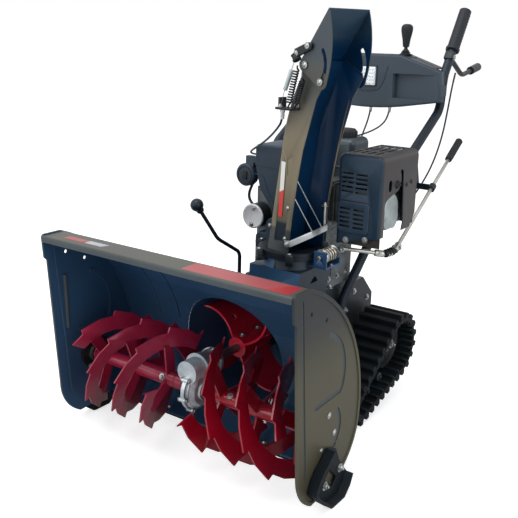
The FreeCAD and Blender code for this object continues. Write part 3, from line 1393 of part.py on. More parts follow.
def chute_cable():
    """The end of the deflector's cable that swings with the chute, up to its bracket."""
    return cable([V(-72.1, 449, 738), V(-40, 436.6, 744), V(6, 394, 752), V(50, 354, 768),
                  V(92, 318, 784), V(121.3, 299.3, 802), V(121.3, 299.3, float(p.pivot_rise) - 98)],
                 p.cable_radius)


def starter_wire():
    """The short lead from the switch to the starter motor."""
    side, rise, back = float(p.starter_side), float(p.starter_rise), 483
    return cable([V(side - 16, back, rise + 84), V(side - 26, back, rise + 66), V(side - 30, back, rise + 46),
                  V(side - 22, back, rise + 30), V(side - 8, back, rise + 20)], p.cable_radius)


def cable(points, radius):
    """A cord on arcs as large as its runs allow."""
    radii = cord_bends(points)
    print("bends of", [round(bend, 1) for bend in radii])
    return shaped(swept_bar(points, radii, float(radius)))


def make_cords():
    """The outer cables from the console and levers, the deflector's cable in two lengths, the lead."""
    cords = doc.addObject("Part::Compound", "Cords")
    side_cable = lever_cable()
    cords.Links = [drop_cable(), side_cable, mirrored(side_cable)]
    hold("control_cables", cords)
    hold("deflector_cable", tilt_cable())
    hold("chute_cable", chute_cable())
    hold("starter_lead", starter_wire())


def export():
    """Checks every object, then writes each sub-part."""
    doc.recompute()
    for item in doc.Objects:
        if "Invalid" in item.State or "Error" in item.State:
            raise ValueError(f"{item.Name} ({item.Label}) failed: {item.State}")
    for name, item in nodes.items():
        if item.Shape.isNull() or not item.Shape.isValid() or not item.Shape.Solids:
            raise ValueError(f"{name} has no valid solid")
    os.makedirs("parts", exist_ok=True)
    for name, item in nodes.items():
        item.Shape.exportStep(f"parts/{name}.step")
        print(name, len(item.Shape.Solids), "solid(s)", round(item.Shape.Volume / 1000, 1), "cm3")


make_wrap()
make_side_plates()
make_top_beam()
make_scraper()
make_skid_shoes()
make_drum()
make_chute_base()
make_auger_shaft()
make_bearings()
make_augers()
make_gearbox()
make_impeller()
make_chute()
make_chute_fittings()
make_deflector()
make_engine()
make_guard()
make_tank()
make_engine_covers()
make_chassis()
make_tracks()
make_wheels()
make_handles()
make_console_fittings()
make_worm()
make_crank()
make_height_lever()
make_cords()
export()
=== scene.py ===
import json
from math import acos, cos, pi, radians, sin, sqrt

import bpy
from mathutils import Matrix, Vector

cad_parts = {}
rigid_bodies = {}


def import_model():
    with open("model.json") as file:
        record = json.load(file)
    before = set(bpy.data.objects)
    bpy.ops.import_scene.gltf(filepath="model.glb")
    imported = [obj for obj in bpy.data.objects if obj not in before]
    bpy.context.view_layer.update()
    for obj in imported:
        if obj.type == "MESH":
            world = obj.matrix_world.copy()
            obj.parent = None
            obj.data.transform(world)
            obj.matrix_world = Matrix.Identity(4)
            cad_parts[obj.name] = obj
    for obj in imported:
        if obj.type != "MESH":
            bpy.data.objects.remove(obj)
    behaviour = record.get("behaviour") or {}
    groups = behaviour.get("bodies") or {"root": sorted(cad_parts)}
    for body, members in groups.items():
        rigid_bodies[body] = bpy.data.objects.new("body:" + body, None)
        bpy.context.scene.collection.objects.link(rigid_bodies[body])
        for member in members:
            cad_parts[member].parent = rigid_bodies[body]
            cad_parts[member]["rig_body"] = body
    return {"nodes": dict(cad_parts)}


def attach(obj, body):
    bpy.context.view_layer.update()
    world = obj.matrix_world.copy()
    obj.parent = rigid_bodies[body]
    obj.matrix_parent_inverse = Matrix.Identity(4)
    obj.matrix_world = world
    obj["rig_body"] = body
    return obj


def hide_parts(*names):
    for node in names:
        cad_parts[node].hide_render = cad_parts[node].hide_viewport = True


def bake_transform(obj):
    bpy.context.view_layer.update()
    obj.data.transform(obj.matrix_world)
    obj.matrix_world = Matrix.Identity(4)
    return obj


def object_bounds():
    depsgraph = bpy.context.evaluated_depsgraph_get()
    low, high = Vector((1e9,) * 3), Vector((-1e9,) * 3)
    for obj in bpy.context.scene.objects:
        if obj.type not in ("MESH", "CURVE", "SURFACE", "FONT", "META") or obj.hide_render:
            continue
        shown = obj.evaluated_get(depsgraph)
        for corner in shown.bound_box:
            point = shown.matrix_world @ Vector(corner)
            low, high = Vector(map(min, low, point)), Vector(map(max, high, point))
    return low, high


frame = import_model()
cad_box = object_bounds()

# ---- Studio: a pale floor in a white room, one large soft lamp overhead and two fainter ones at the
# sides, and the camera at standing height in front of the machine's left corner.
azimuth, elevation, roll = radians(35.4), radians(15.9), radians(1.2)
away = Vector((sin(azimuth) * cos(elevation), -cos(azimuth) * cos(elevation), sin(elevation)))
sideways = Vector((cos(azimuth), sin(azimuth), 0))
upwards = away.cross(sideways)
across = sideways * cos(roll) + upwards * sin(roll)
camera_data = bpy.data.cameras.new("camera")
camera_data.lens, camera_data.shift_x, camera_data.shift_y = 53.8, 0.0097, -0.0116
camera = bpy.data.objects.new("camera", camera_data)
camera.matrix_world = (Matrix.Translation((1.080, -1.764, 0.990))
                       @ Matrix((across, away.cross(across), away)).transposed().to_4x4())
scene = bpy.context.scene
scene.collection.objects.link(camera)
scene.camera = camera
scene.view_settings.view_transform = "Standard"


def add_lamp(name, place, aim, size, power):
    """A square soft lamp that faces a point."""
    lamp_data = bpy.data.lights.new(name, "AREA")
    lamp_data.size, lamp_data.energy = size, power
    lamp = bpy.data.objects.new(name, lamp_data)
    lamp.location = place
    lamp.rotation_euler = (Vector(aim) - Vector(place)).to_track_quat("-Z", "Y").to_euler()
    scene.collection.objects.link(lamp)


add_lamp("overhead", (-0.4, -1.2, 3.4), (0, 0, 0.3), 2.6, 62)
add_lamp("left_fill", (3.2, -1.0, 1.6), (0, 0, 0.5), 1.8, 20)
add_lamp("front_fill", (-1.6, -3.2, 1.2), (0, -0.2, 0.4), 1.8, 20)


class Shade:
    """A socket of a finish's nodes; sums written on it add the nodes that work them out."""

    def __init__(self, tree, socket):
        self.tree, self.socket = tree, socket

    def node(self, kind, settings=None, values=None, out=0):
        """Adds a node: its settings first, then the values or links of its sockets."""
        made = self.tree.nodes.new(kind)
        for key, value in (settings or {}).items():
            setattr(made, key, value)
        for key, value in (values or {}).items():
            if isinstance(value, Shade):
                self.tree.links.new(value.socket, made.inputs[key])
            else:
                made.inputs[key].default_value = value
        return Shade(self.tree, made.outputs[out])

    def sum(self, kind, first, second):
        return self.node("ShaderNodeMath", {"operation": kind}, {0: first, 1: second})

    def step(self, low, high, start=0.0, end=1.0):
        """Eases from start to end as this goes from low to high."""
        return self.node("ShaderNodeMapRange", {"interpolation_type": "SMOOTHSTEP"},
                         {"Value": self, "From Min": low, "From Max": high, "To Min": start, "To Max": end})

    def blend(self, first, second):
        """The first colour where this is 0, the second where it is 1."""
        return self.node("ShaderNodeMix", {"data_type": "RGBA"}, {0: self, 6: first, 7: second}, 2)

    def noise(self, scale, detail=2.0):
        return self.node("ShaderNodeTexNoise", {}, {"Vector": self, "Scale": scale, "Detail": detail})

    def axis(self, index):
        return self.node("ShaderNodeSeparateXYZ", {}, {0: self}, index)


for sign, kind in (("add", "ADD"), ("sub", "SUBTRACT"), ("mul", "MULTIPLY")):
    setattr(Shade, f"__{sign}__", lambda self, other, kind=kind: self.sum(kind, self, other))
    setattr(Shade, f"__r{sign}__", lambda self, other, kind=kind: self.sum(kind, other, self))


def rays(tree, kind):
    """One for the rays of a kind, nought for all others."""
    return Shade(tree, tree.nodes.new("ShaderNodeLightPath").outputs[f"Is {kind} Ray"])


world = bpy.data.worlds.new("white_room")
scene.world = world
world.use_nodes = True
room = world.node_tree
grey_room = room.nodes["Background"]
grey_room.inputs["Color"].default_value = (0.60, 0.62, 0.64, 1)
glossy = rays(room, "Glossy")
mirror_or_glass = glossy.sum("MAXIMUM", glossy, rays(room, "Transmission"))
seen = mirror_or_glass.sum("MAXIMUM", rays(room, "Camera"), mirror_or_glass)
backdrop = seen.node("ShaderNodeBackground", {}, {"Color": (1, 1, 1, 1)})
choice = seen.node("ShaderNodeMixShader", {}, {0: seen, 1: Shade(room, grey_room.outputs[0]), 2: backdrop})
room.links.new(choice.socket, room.nodes["World Output"].inputs["Surface"])

for item in bpy.context.selected_objects:
    item.select_set(False)
bpy.ops.mesh.primitive_plane_add(size=30, location=(0, 0, -0.0005))
floor = bpy.context.object
floor.name = "floor"
pale = bpy.data.materials.new("pale_floor")
pale.use_nodes = True
pale_tree = pale.node_tree
matt = pale_tree.nodes["Principled BSDF"]
for key, value in (("Base Color", (0.8, 0.8, 0.8, 1)), ("Roughness", 0.9), ("Specular IOR Level", 0)):
    matt.inputs[key].default_value = value
lit = rays(pale_tree, "Camera") * 0.62
glow = lit.node("ShaderNodeEmission", {}, {"Strength": lit})
both = glow.node("ShaderNodeAddShader", {}, {0: Shade(pale_tree, matt.outputs[0]), 1: glow})
pale_tree.links.new(both.socket, pale_tree.nodes["Material Output"].inputs["Surface"])
floor.data.materials.append(pale)

# ---- Auger housing: a rolled back sheet between two pressed side plates, welded and powder coated, grey-brown
# outside and blue-black inside, with a folded lip across the top.
lip = cad_box[0].y
leftward, rightward, forward, rearward, upward = (1, 0, 0), (-1, 0, 0), (0, -1, 0), (0, 1, 0), (0, 0, 1)


def spot(x, back, up):
    """A place in millimetres: to the operator's left, back from the housing's lip, up from the ground."""
    return Vector((x / 1000, back / 1000 + lip, up / 1000))


def spots(*places):
    return [spot(*place) for place in places]


def facing(along, *places):
    """Places in millimetres, each paired with one direction for all of them."""
    return [(spot(*place), along) for place in places]


def local(x, y, z):
    """A place or a step in millimetres from a piece's own middle."""
    return Vector((x, y, z)) / 1000


def aside(x):
    """A step to the operator's left, in millimetres."""
    return local(x, 0, 0)


def set_in(place, *axes):
    """Where a piece stands: its middle and the ways its three axes point."""
    return Matrix.Translation(place) @ Matrix(axes).transposed().to_4x4()


def pick(*pieces):
    """Selects pieces, the first of them active, and nothing else."""
    bpy.ops.object.select_all(action="DESELECT")
    for piece in pieces:
        piece.select_set(True)
    bpy.context.view_layer.objects.active = pieces[0]


def join(*pieces):
    pick(*pieces)
    bpy.ops.object.join()
    return pieces[0]


def add_block(low, high, round_by=0.0):
    """A block between two corners, its edges rounded."""
    bpy.ops.object.select_all(action="DESELECT")
    bpy.ops.mesh.primitive_cube_add(size=1, location=(low + high) / 2, scale=high - low)
    piece = bpy.context.object
    pick(piece)
    bpy.ops.object.transform_apply(location=True, rotation=True, scale=True)
    if round_by:
        round_edges(piece, round_by)
    return piece


def add_rod(start, end, radius, end_radius=None, sides=20, round_by=0.0):
    """A round bar or taper between two points, its rims rounded."""
    run = end - start
    bpy.ops.object.select_all(action="DESELECT")
    bpy.ops.mesh.primitive_cone_add(
        vertices=sides, radius1=radius / 1000, radius2=(radius if end_radius is None else end_radius) / 1000,
        depth=run.length, location=(start + end) / 2, rotation=run.to_track_quat("Z", "Y").to_euler())
    piece = bpy.context.object
    if round_by:
        round_edges(piece, round_by, 50)
    return piece


def round_edges(piece, width, over=30, steps=2):
    """Rounds the edges that turn by more than an angle, by a width in millimetres."""
    pick(piece)
    bpy.ops.object.modifier_add(type="BEVEL")
    bevel = piece.modifiers[-1]
    bevel.width, bevel.segments, bevel.limit_method, bevel.angle_limit = width / 1000, steps, "ANGLE", radians(over)
    bpy.ops.object.modifier_apply(modifier=bevel.name)
    return piece


def add_turned(start, along, outline, sides=28):
    """A turned piece: an outline of (reach, radius) in millimetres, spun about an axis."""
    mesh = bpy.data.meshes.new("turned")
    mesh.from_pydata([(radius / 1000, 0, reach / 1000) for reach, radius in outline],
                     [(index, index + 1) for index in range(len(outline) - 1)], [])
    piece = bpy.data.objects.new("turned", mesh)
    scene.collection.objects.link(piece)
    pick(piece)
    bpy.ops.object.mode_set(mode="EDIT")
    bpy.ops.mesh.select_all(action="SELECT")
    bpy.ops.mesh.spin(steps=sides, angle=2 * pi, center=(0, 0, 0), axis=(0, 0, 1))
    bpy.ops.mesh.select_all(action="SELECT")
    bpy.ops.mesh.remove_doubles(threshold=0.00002)
    bpy.ops.mesh.normals_make_consistent(inside=False)
    bpy.ops.object.mode_set(mode="OBJECT")
    turn = Vector(along).to_track_quat("Z", "Y")
    piece.matrix_world = Matrix.Translation(start) @ turn.to_matrix().to_4x4()
    return piece


def add_wire(points, radius, order=3, sides=2, steps=6):
    """A round wire along points: a smooth line, or straight runs at order 2."""
    line = bpy.data.curves.new("wire", "CURVE")
    line.dimensions, line.bevel_depth, line.bevel_resolution = "3D", radius / 1000, sides
    line.use_fill_caps, line.resolution_u = True, steps
    spline = line.splines.new("NURBS")
    spline.points.add(len(points) - 1)
    for knot, place in zip(spline.points, points):
        knot.co = (*place, 1)
    spline.order_u, spline.use_endpoint_u = order, True
    piece = bpy.data.objects.new("wire", line)
    scene.collection.objects.link(piece)
    pick(piece)
    bpy.ops.object.convert(target="MESH")
    return bpy.context.object


def copies(pattern, places):
    """One copy of a pattern at each (place, direction), its Z along the direction; the pattern goes."""
    made = []
    for place, along in places:
        copy = pattern.copy()
        copy.data = pattern.data.copy()
        scene.collection.objects.link(copy)
        turn = Vector(along).to_track_quat("Z", "Y").to_matrix().to_4x4()
        copy.matrix_world = Matrix.Translation(place) @ turn @ pattern.matrix_world
        made.append(copy)
    bpy.data.objects.remove(pattern)
    return join(*made)


def both_sides(piece):
    """The piece with its mirror image on the operator's other side."""
    pick(piece)
    bpy.ops.object.transform_apply(location=True, rotation=True, scale=True)
    other = piece.copy()
    other.data = piece.data.copy()
    scene.collection.objects.link(other)
    other.data.transform(Matrix.Scale(-1, 4, (1, 0, 0)))
    other.data.flip_normals()
    return join(piece, other)


def fit(piece, name, finish, smooth=35, body="frame"):
    """Names a finished piece, puts its place in its mesh, gives it its finish and fixes it to a body."""
    pick(piece)
    bpy.ops.object.transform_apply(location=True, rotation=True, scale=True)
    piece.name = piece.data.name = name
    piece.data.materials.clear()
    for coat in finish if isinstance(finish, list) else [finish]:
        piece.data.materials.append(coat)
    bpy.ops.object.shade_smooth_by_angle(angle=radians(smooth))
    if body:
        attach(piece, body)
    return piece


def dress(node, finish, edge=0.4, smooth=32):
    """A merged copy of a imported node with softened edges, which stands for the node."""
    source = frame["nodes"][node]
    piece = bpy.data.objects.new(node + "_finished", source.data.copy())
    scene.collection.objects.link(piece)
    pick(piece)
    bpy.ops.object.mode_set(mode="EDIT")
    bpy.ops.mesh.select_all(action="SELECT")
    bpy.ops.mesh.remove_doubles(threshold=0.000008)
    bpy.ops.mesh.dissolve_limited(angle_limit=radians(0.5))
    bpy.ops.object.mode_set(mode="OBJECT")
    if edge:
        round_edges(piece, edge, 32, 1)
    fit(piece, node + "_finished", finish, smooth, body=source["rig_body"])
    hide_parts(node)
    return piece


def tone(code):
    """A colour from its six-figure code, in linear light."""
    parts = [int(code[place:place + 2], 16) / 255 for place in (0, 2, 4)]
    return (*[part / 12.92 if part < 0.04045 else ((part + 0.055) / 1.055) ** 2.4 for part in parts], 1)


def finish(name, dark, light, rough, patches=6.0, metal=0.0, gloss=0.5, grain=700.0, relief=0.05,
           streaks=None, worn=None, coat=0.0, colour=None):
    """A finish in two close tones with a fine grain, and edges rubbed lighter where worn is given."""
    made = bpy.data.materials.new(name)
    made.use_nodes = True
    tree = made.node_tree
    shader = tree.nodes["Principled BSDF"]
    place = Shade(tree, tree.nodes.new("ShaderNodeTexCoord").outputs["Object"])
    patch = place.noise(patches, 3)
    drawn = place.node("ShaderNodeVectorMath", {"operation": "MULTIPLY"}, {0: place, 1: streaks}) if streaks else place
    fine = drawn.noise(grain)
    base = (patch * 0.75 + fine * 0.25).step(0.32, 0.68).blend(tone(dark), tone(light))
    if colour:
        base = colour(place, base)
    if worn:
        ridge = Shade(tree, tree.nodes.new("ShaderNodeNewGeometry").outputs["Pointiness"])
        rub = ridge.step(0.56, 0.68) * place.noise(130, 3).step(0.35, 0.6)
        base = rub.blend(base, tone(worn))
    bump = fine.node("ShaderNodeBump", {}, {"Strength": relief, "Distance": 0.0006, "Height": fine})
    for key, value in (("Base Color", base), ("Roughness", rough - 0.09 + patch * 0.12 + fine * 0.06),
                       ("Normal", bump)):
        tree.links.new(value.socket, shader.inputs[key])
    for key, value in (("Metallic", metal), ("Specular IOR Level", gloss), ("Coat Weight", coat),
                       ("Coat Roughness", 0.12)):
        shader.inputs[key].default_value = value
    return made


def second_coat(piece, chosen, coat=1):
    """Gives one of the piece's further finishes to the faces that a test picks by middle and normal."""
    for face in piece.data.polygons:
        if chosen(face.center, face.normal):
            face.material_index = coat


def outer_tint(place, base):
    """Grey-brown, slate towards the top of the housing."""
    return place.axis(2).step(0.30, 0.47).blend(base, tone("303335"))


sheet_coat = {"metal": 0.2, "gloss": 0.28, "grain": 1600, "relief": 0.06}
dark_coat = {"metal": 0.1, "gloss": 0.3, "grain": 1500, "relief": 0.06}
outer_paint = finish("outer_paint", "484538", "565240", 0.42, 2.5, colour=outer_tint, **sheet_coat)
beam_paint = finish("beam_paint", "4a4b47", "56564f", 0.42, 2.5, **sheet_coat)
drum_paint = finish("drum_paint", "17232f", "1f2d3c", 0.42, 5, **dark_coat)
inner_paint = finish("inner_paint", "264666", "345472", 0.38, 3, **dark_coat)
zinc = finish("zinc_plate", "8f9292", "c4c7c6", 0.30, 60, metal=0.9, grain=900)
axle = spot(0, 150, 175)


def outwards(centre, normal):
    """True where a face of the housing looks away from the augers."""
    reach = centre - axle
    return normal.y * reach.y + normal.z * reach.z > 0


wrap = dress("housing_wrap", [inner_paint, outer_paint])
second_coat(wrap, outwards)
# Painted shade: a darker blue-grey on the side plates' groove floors and on the front of the top beam's lip stands in
# for the shade there.
painted_crease_shade_and_light = finish("painted_crease_shade_and_light", "3c4347", "474e52", 0.40, metal=0.2, gloss=0.3)
groove_floor, plate_face, lip_depth = 0.3525, 0.3546, 0.004
for node, side in (("side_plate_left", 1), ("side_plate_right", -1)):
    plate = dress(node, [outer_paint, inner_paint, painted_crease_shade_and_light], smooth=12)
    second_coat(plate, lambda centre, normal: normal.x * side < -0.5)
    second_coat(plate, lambda centre, normal: normal.x * side > 0.3 and groove_floor < centre.x * side < plate_face, 2)
beam = dress("top_beam", [beam_paint, inner_paint, painted_crease_shade_and_light])
second_coat(beam, lambda centre, normal: normal.z < -0.5)
second_coat(beam, lambda centre, normal: normal.y < -0.7 and centre.y < lip + lip_depth, 2)
# Painted highlight: the inner bead on the far plate takes the same grey, so it reads as a lit ridge on the navy.
inner_bead = add_wire(spots((-350.2, 66, 268), (-350.2, 64, 330), (-350.2, 62, 408)), 5)
fit(inner_bead, "inner_bead", painted_crease_shade_and_light)
drum = dress("impeller_drum", [inner_paint, drum_paint])
drum_up = 0.226
second_coat(drum, lambda centre, normal: normal.x * centre.x + normal.z * (centre.z - drum_up) > 0
            or normal.y > 0.5)
scraper_paint = finish("scraper_paint", "101418", "1b2026", 0.45, metal=0.3, gloss=0.3, relief=0.1, worn="565b5e")
lip_turn, bar_turn = radians(68), radians(61)
pick(wrap)
bpy.ops.object.mode_set(mode="EDIT")
bpy.ops.mesh.select_all(action="SELECT")
bpy.ops.mesh.bisect(plane_co=axle, plane_no=(0, -sin(lip_turn), -cos(lip_turn)), use_fill=True, clear_outer=True)
bpy.ops.object.mode_set(mode="OBJECT")
bar_out = Vector((0, cos(bar_turn), -sin(bar_turn)))
scraper = add_block(local(-350, -19, -2.5), local(350, 19, 2.5), 1.2)
scraper.matrix_world = set_in(axle + bar_out * 0.1472, Vector((1, 0, 0)), bar_out.cross((1, 0, 0)), bar_out)
fit(scraper, "scraper_bar_curved", scraper_paint)
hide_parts("scraper_bar")


def dome_bolt(size=4.5):
    """A coach bolt's round head on a washer."""
    return add_turned((0, 0, 0), upward, [
        (0, size * 1.7), (1.2, size * 1.7), (1.3, size * 1.1), (size * 0.5, size * 0.95),
        (size * 0.8, size * 0.5), (size * 0.9, 0)], 14)


def hex_bolt(size=5, tall=0.7):
    """A six-sided head with chamfered corners on a washer."""
    washer = add_turned((0, 0, 0), upward, [(0, size * 1.6), (1, size * 1.6), (1.2, size * 0.6)], 16)
    head = add_rod(local(0, 0, 1), local(0, 0, 1 + size * tall), size, sides=6)
    round_edges(head, size * 0.12, 50, 1)
    return join(head, washer)


def stud_nut(size=6):
    """A nut and washer on a stud whose end stands out."""
    end = add_turned((0, 0, 0), upward, [
        (0, size * 0.5), (size * 1.4, size * 0.5), (size * 1.6, size * 0.38), (size * 1.6, 0)], 12)
    return join(hex_bolt(size, 0.8), end)


def fasten(name, pattern, places, body="frame", mirrored=False):
    """Zinc-plated fasteners: a copy of the pattern at each (place, direction)."""
    piece = copies(pattern, places)
    return fit(both_sides(piece) if mirrored else piece, name, zinc, body=body)


def round_bearing(x, way):
    """Three places round the augers' bearing, facing one way."""
    bolt_circle = 38
    return facing(way, *[(x, 150 + bolt_circle * cos(radians(turn)), 175 + bolt_circle * sin(radians(turn)))
                         for turn in (76, -21, -119)])


def along_bar(reach, way):
    """Five places along the scraper bar, at a distance from the augers' axis."""
    return [(axle + bar_out * reach + aside(side), way) for side in (-300, -150, 0, 150, 300)]


def back_place(side, up, sunk):
    """A place on the housing's rear sheet at a height."""
    bend_radius, wall, bend_reach, bend_turn = 343, 3, 199, radians(5.4)
    reach = bend_radius - wall - sunk
    centre_back, centre_up = 150 - bend_reach * cos(bend_turn), 175 + bend_reach * sin(bend_turn)
    return spot(side, centre_back + sqrt(reach * reach - (up - centre_up) ** 2), up)


fasten("bearing_bolts", dome_bolt(), round_bearing(355, leftward), mirrored=True)
fasten("bearing_nuts", stud_nut(5), round_bearing(346, rightward), mirrored=True)
fasten("scraper_bolts", stud_nut(5), along_bar(0.1497, bar_out))
fasten("scraper_heads", dome_bolt(4.5), along_bar(0.1411, -bar_out))
for name, heights, sunk, radius, sides in (("pressed_ribs", range(500, 250, -25), 0.4, 2.2, (-236, -168, 236)),
                                           ("corner_welds", range(512, 220, -30), 1.2, 2, (-351, 351))):
    lines = [add_wire([back_place(side, up, sunk) for up in heights], radius) for side in sides]
    fit(join(*lines), name, inner_paint)


def stripe_film(name, low, high, slant, film):
    """A thin film on a level face, its right-hand end cut at a slant."""
    piece = add_block(low, high)
    for corner in piece.data.vertices:
        if corner.co.x > (low.x + high.x) / 2:
            corner.co.x += slant * (corner.co.y - low.y) / (high.y - low.y)
    round_edges(piece, 0.1, 30, 1)
    return fit(piece, name, film)


def split_red(place, base):
    """A brighter red beyond a slanting line near the film's end."""
    lean = place.axis(0) - place.axis(1) * 0.6
    return lean.step(0.6485, 0.6495).blend(base, tone("a3242e"))


red_film = finish("red_film", "9c3a3e", "a8474a", 0.35, 5, gloss=0.4, relief=0.02, colour=split_red)
grey_film = finish("grey_film", "9ea2a6", "b4b8bb", 0.35, 5, gloss=0.4, relief=0.02)
stripe_film("beam_stripe", spot(72, 9, 518), spot(338, 61, 518.25), 0.0, red_film)
stripe_film("small_stripe", spot(-300, 22, 518), spot(-238, 42, 518.25), 0.008, red_film)
stripe_film("pale_stripe", spot(-230, 22, 518), spot(-176, 42, 518.25), 0.008, grey_film)

# ---- Skid shoes: pressed steel, enamelled black, each held over the side plate's rim by two studs.
shoe_paint = finish("shoe_paint", "0c141a", "131d24", 0.56, 9, metal=0.1, gloss=0.2, relief=0.1)
dress("skid_shoes", shoe_paint, 0.6)
fasten("shoe_nuts", stud_nut(6.5), facing(leftward, (362.5, 207, 67), (362.5, 143, 53)), mirrored=True)

# ---- Auger shaft and bearings: a turned bar in two flanged bearings bolted to the side plates.
turned_steel = finish("turned_steel", "6f7172", "9b9d9e", 0.34, 8, metal=0.85, grain=500, streaks=(40, 1, 1))
dress("auger_shaft", turned_steel)
bearing_coat = finish("bearing_coat", "191d20", "2b3033", 0.4, 12, metal=0.5, relief=0.1, worn="75797b")
dress("auger_bearings", bearing_coat, 0.8)

# ---- Augers: saw-toothed spiral bands welded to flat bars on a tube, enamelled bright red. Two shear pins
# with ring clips lock each tube to the shaft.
red_enamel = finish("red_enamel", "7c0418", "96061f", 0.30, 3, gloss=0.4, grain=1200, coat=0.35)
dress("auger_left", red_enamel, 0.6, 24)


def low_rose_sheen(place, base):
    """Painted sheen: rose-brown towards the bottom of the auger."""
    return place.axis(2).step(0.125, 0.05).blend(base, tone("8f4248"))


# Painted sheen: the far auger takes a paler, rose copy of the augers' red enamel.
far_auger_sheen_red = finish("far_auger_sheen_enamel", "8a1836", "a32042", 0.34, 3, gloss=0.35, grain=1200, coat=0.2, colour=low_rose_sheen)
dress("auger_right", far_auger_sheen_red, 0.6, 24)


def add_ring(radius, thick, sides, place=(0, 0, 0), turn=(0, 0, 0)):
    """A round ring."""
    bpy.ops.object.select_all(action="DESELECT")
    bpy.ops.mesh.primitive_torus_add(major_radius=radius / 1000, minor_radius=thick / 1000, major_segments=sides,
                                     minor_segments=6, location=place, rotation=turn)
    return bpy.context.object


def shear_pin():
    """A bolt across the tube, with a ring clip through its end."""
    head = hex_bolt(5, 0.8)
    shank = add_rod(local(0, 0, -50), local(0, 0, 2), 2.8, sides=10, round_by=0.5)
    return join(head, shank, add_ring(7.5, 0.9, 20, (0, 0.0055, -0.0465), (0, pi / 2, 0)))


places = []
for side, turn in ((108, 40), (206, 150), (-96, 70), (-196, 200)):
    lean = Vector((0, -sin(radians(turn)), cos(radians(turn))))
    places.append((axle + aside(side) + lean * 0.0195, lean))
fasten("shear_pins", shear_pin(), places, "auger")
welds = [(axle + aside(side), leftward) for side in (36, 60, 330, -36, -60, -330)]
fit(copies(add_ring(19.2, 1.6, 28), welds), "tube_rings", red_enamel, body="auger")

# ---- Auger gearbox: two aluminium castings bolted round their rim, with cast ribs and a breather on top.
cast = finish("cast_aluminium", "a3adb3", "ccd5da", 0.45, 30, metal=0.75, grain=420, relief=0.5, worn="c9ccce")
dress("auger_gearbox", cast, 1)
places = []
for index in range(7):
    turn = radians(360 / 7 * index - 64)
    places.append((axle + local(9.2, 54 * cos(turn), 54 * sin(turn)), leftward))
rim_bolts = both_sides(copies(hex_bolt(4.2, 0.9), places))
plug = add_turned(spot(0, 158, 236), upward, [
    (0, 7.5), (4, 7.5), (5, 5), (9, 4.5), (10.5, 3), (10.5, 0)], 12)
fit(join(rim_bolts, plug), "gearbox_bolts", zinc)


def cast_rib(reach, across, thick):
    """A raised ring on the gearbox's face."""
    return add_turned(axle + aside(reach), leftward, [
        (-1, across - thick), (3, across - thick * 0.6), (3.4, across), (2, across + thick),
        (-1, across + thick * 1.2)], 36)


rings = both_sides(join(cast_rib(8.5, 45.5, 2), cast_rib(17.5, 31, 2.5)))
spine = add_block(spot(-2.5, 152, 222), spot(2.5, 205, 260), 1.5)
fit(join(rings, spine), "gearbox_ribs", cast)

# ---- Impeller: four scooped blades welded to a hub on the worm's shaft, enamelled red.
# Painted light: the impeller takes a brighter copy of the red enamel, standing in for light inside the dark drum.
impeller_red_painted_light = finish("impeller_enamel_painted_light", "c40c2c", "e01a3c", 0.30, 4, gloss=0.45, grain=1200, coat=0.4)
dress("impeller", impeller_red_painted_light, 0.6, 24)
dress("impeller_shaft", turned_steel)
dress("impeller_bearing", bearing_coat, 0.8)
fasten("hub_bolts", hex_bolt(6), facing(upward, (0, 330, 252), (0, 395, 252)), "impeller")

# ---- Chute base: the collar's flange, on which the chute's disc turns, held down by five bolted claws.
chute_turn = radians(-13)
throw = Vector((cos(chute_turn), sin(chute_turn), 0))
beside = Vector((-sin(chute_turn), cos(chute_turn), 0))


def on_chute(reach, side, up):
    """A place from the chute's axis in millimetres: along the throw, across it, and up."""
    return spot(105, 380, up) + (throw * reach + beside * side) / 1000


dress("chute_base", [drum_paint])
claw_paint = finish("claw_paint", "14181c", "23292e", 0.42, 20, metal=0.3, relief=0.1)
lug = add_block(local(-9, -7.8, 0), local(9, 0, 21.5), 1)
post = add_block(local(-9, -7.8, 9.2), local(9, 19.8, 21.5), 1)
head = hex_bolt(4.8)
head.matrix_world = Matrix.Translation((0, 0.0198, 0.0152)) @ Matrix.Rotation(-pi / 2, 4, "X")
claws = []
for turn in (55, 118, 180, 242, 300):
    out = Vector((cos(radians(turn)), sin(radians(turn)), 0))
    claws.append((spot(105, 380, 478) + out * 0.0722, out))
fit(copies(join(lug, post), claws), "base_claws", claw_paint)
fasten("base_bolts", head, claws)

# ---- Worm and crank: a zinc-plated worm in a pressed bracket, turned by a long rod with a joint near the
# chute, an eye on the handle and a rubber grip.
worm_steel = finish("worm_steel", "8a8880", "c9c6bc", 0.26, 40, metal=0.9, grain=800, worn="e0ded6")
worm_middle = spot(205, 380, 490)


def helix(start, along, radius, pitch, turns, points=9):
    """Points round an axis, for threads and coils."""
    turn = Vector(along).to_track_quat("Z", "Y")
    line = []
    for index in range(int(turns * points) + 1):
        angle = 2 * pi * index / points
        line.append(start + turn @ Vector((radius * cos(angle), radius * sin(angle), pitch * index / points)))
    return line


core = add_turned(worm_middle - local(0, 40, 0), rearward, [
    (0, 0), (0.5, 4.2), (1.5, 5), (12, 5), (12, 17.5), (13.5, 18.7),
    (15.5, 18.7), (17, 13), (63, 13), (64.5, 18.7), (66.5, 18.7), (68, 17.5),
    (68, 5), (96, 5), (96, 0)], 32)
thread = add_wire(helix(worm_middle - local(0, 22, 0), rearward, 0.0152, 0.0105, 4.2), 3.1)
worm = fit(join(core, thread), "chute_worm_threaded", worm_steel)
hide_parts("chute_worm")
dress("worm_bracket", finish("bracket_blue", "1d3a5c", "2a5078", 0.38, 20, metal=0.3, relief=0.1), 0.6)
fasten("worm_bolts", hex_bolt(4), facing(upward, (181, 380, 467), (217, 380, 467)))
rod_zinc = finish("rod_zinc", "a5a59f", "cfcfc8", 0.3, 12, metal=0.8, grain=600, streaks=(1, 6, 1), relief=0.06)
dress("chute_crank", rod_zinc, 0)
near_joint, far_joint = spot(205, 437, 490), spot(300, 533, 473)
crank_top = spot(262, 938, 655)
crank_run = (crank_top - far_joint).normalized()
cross_run = (far_joint - spot(205, 454, 490)).normalized()


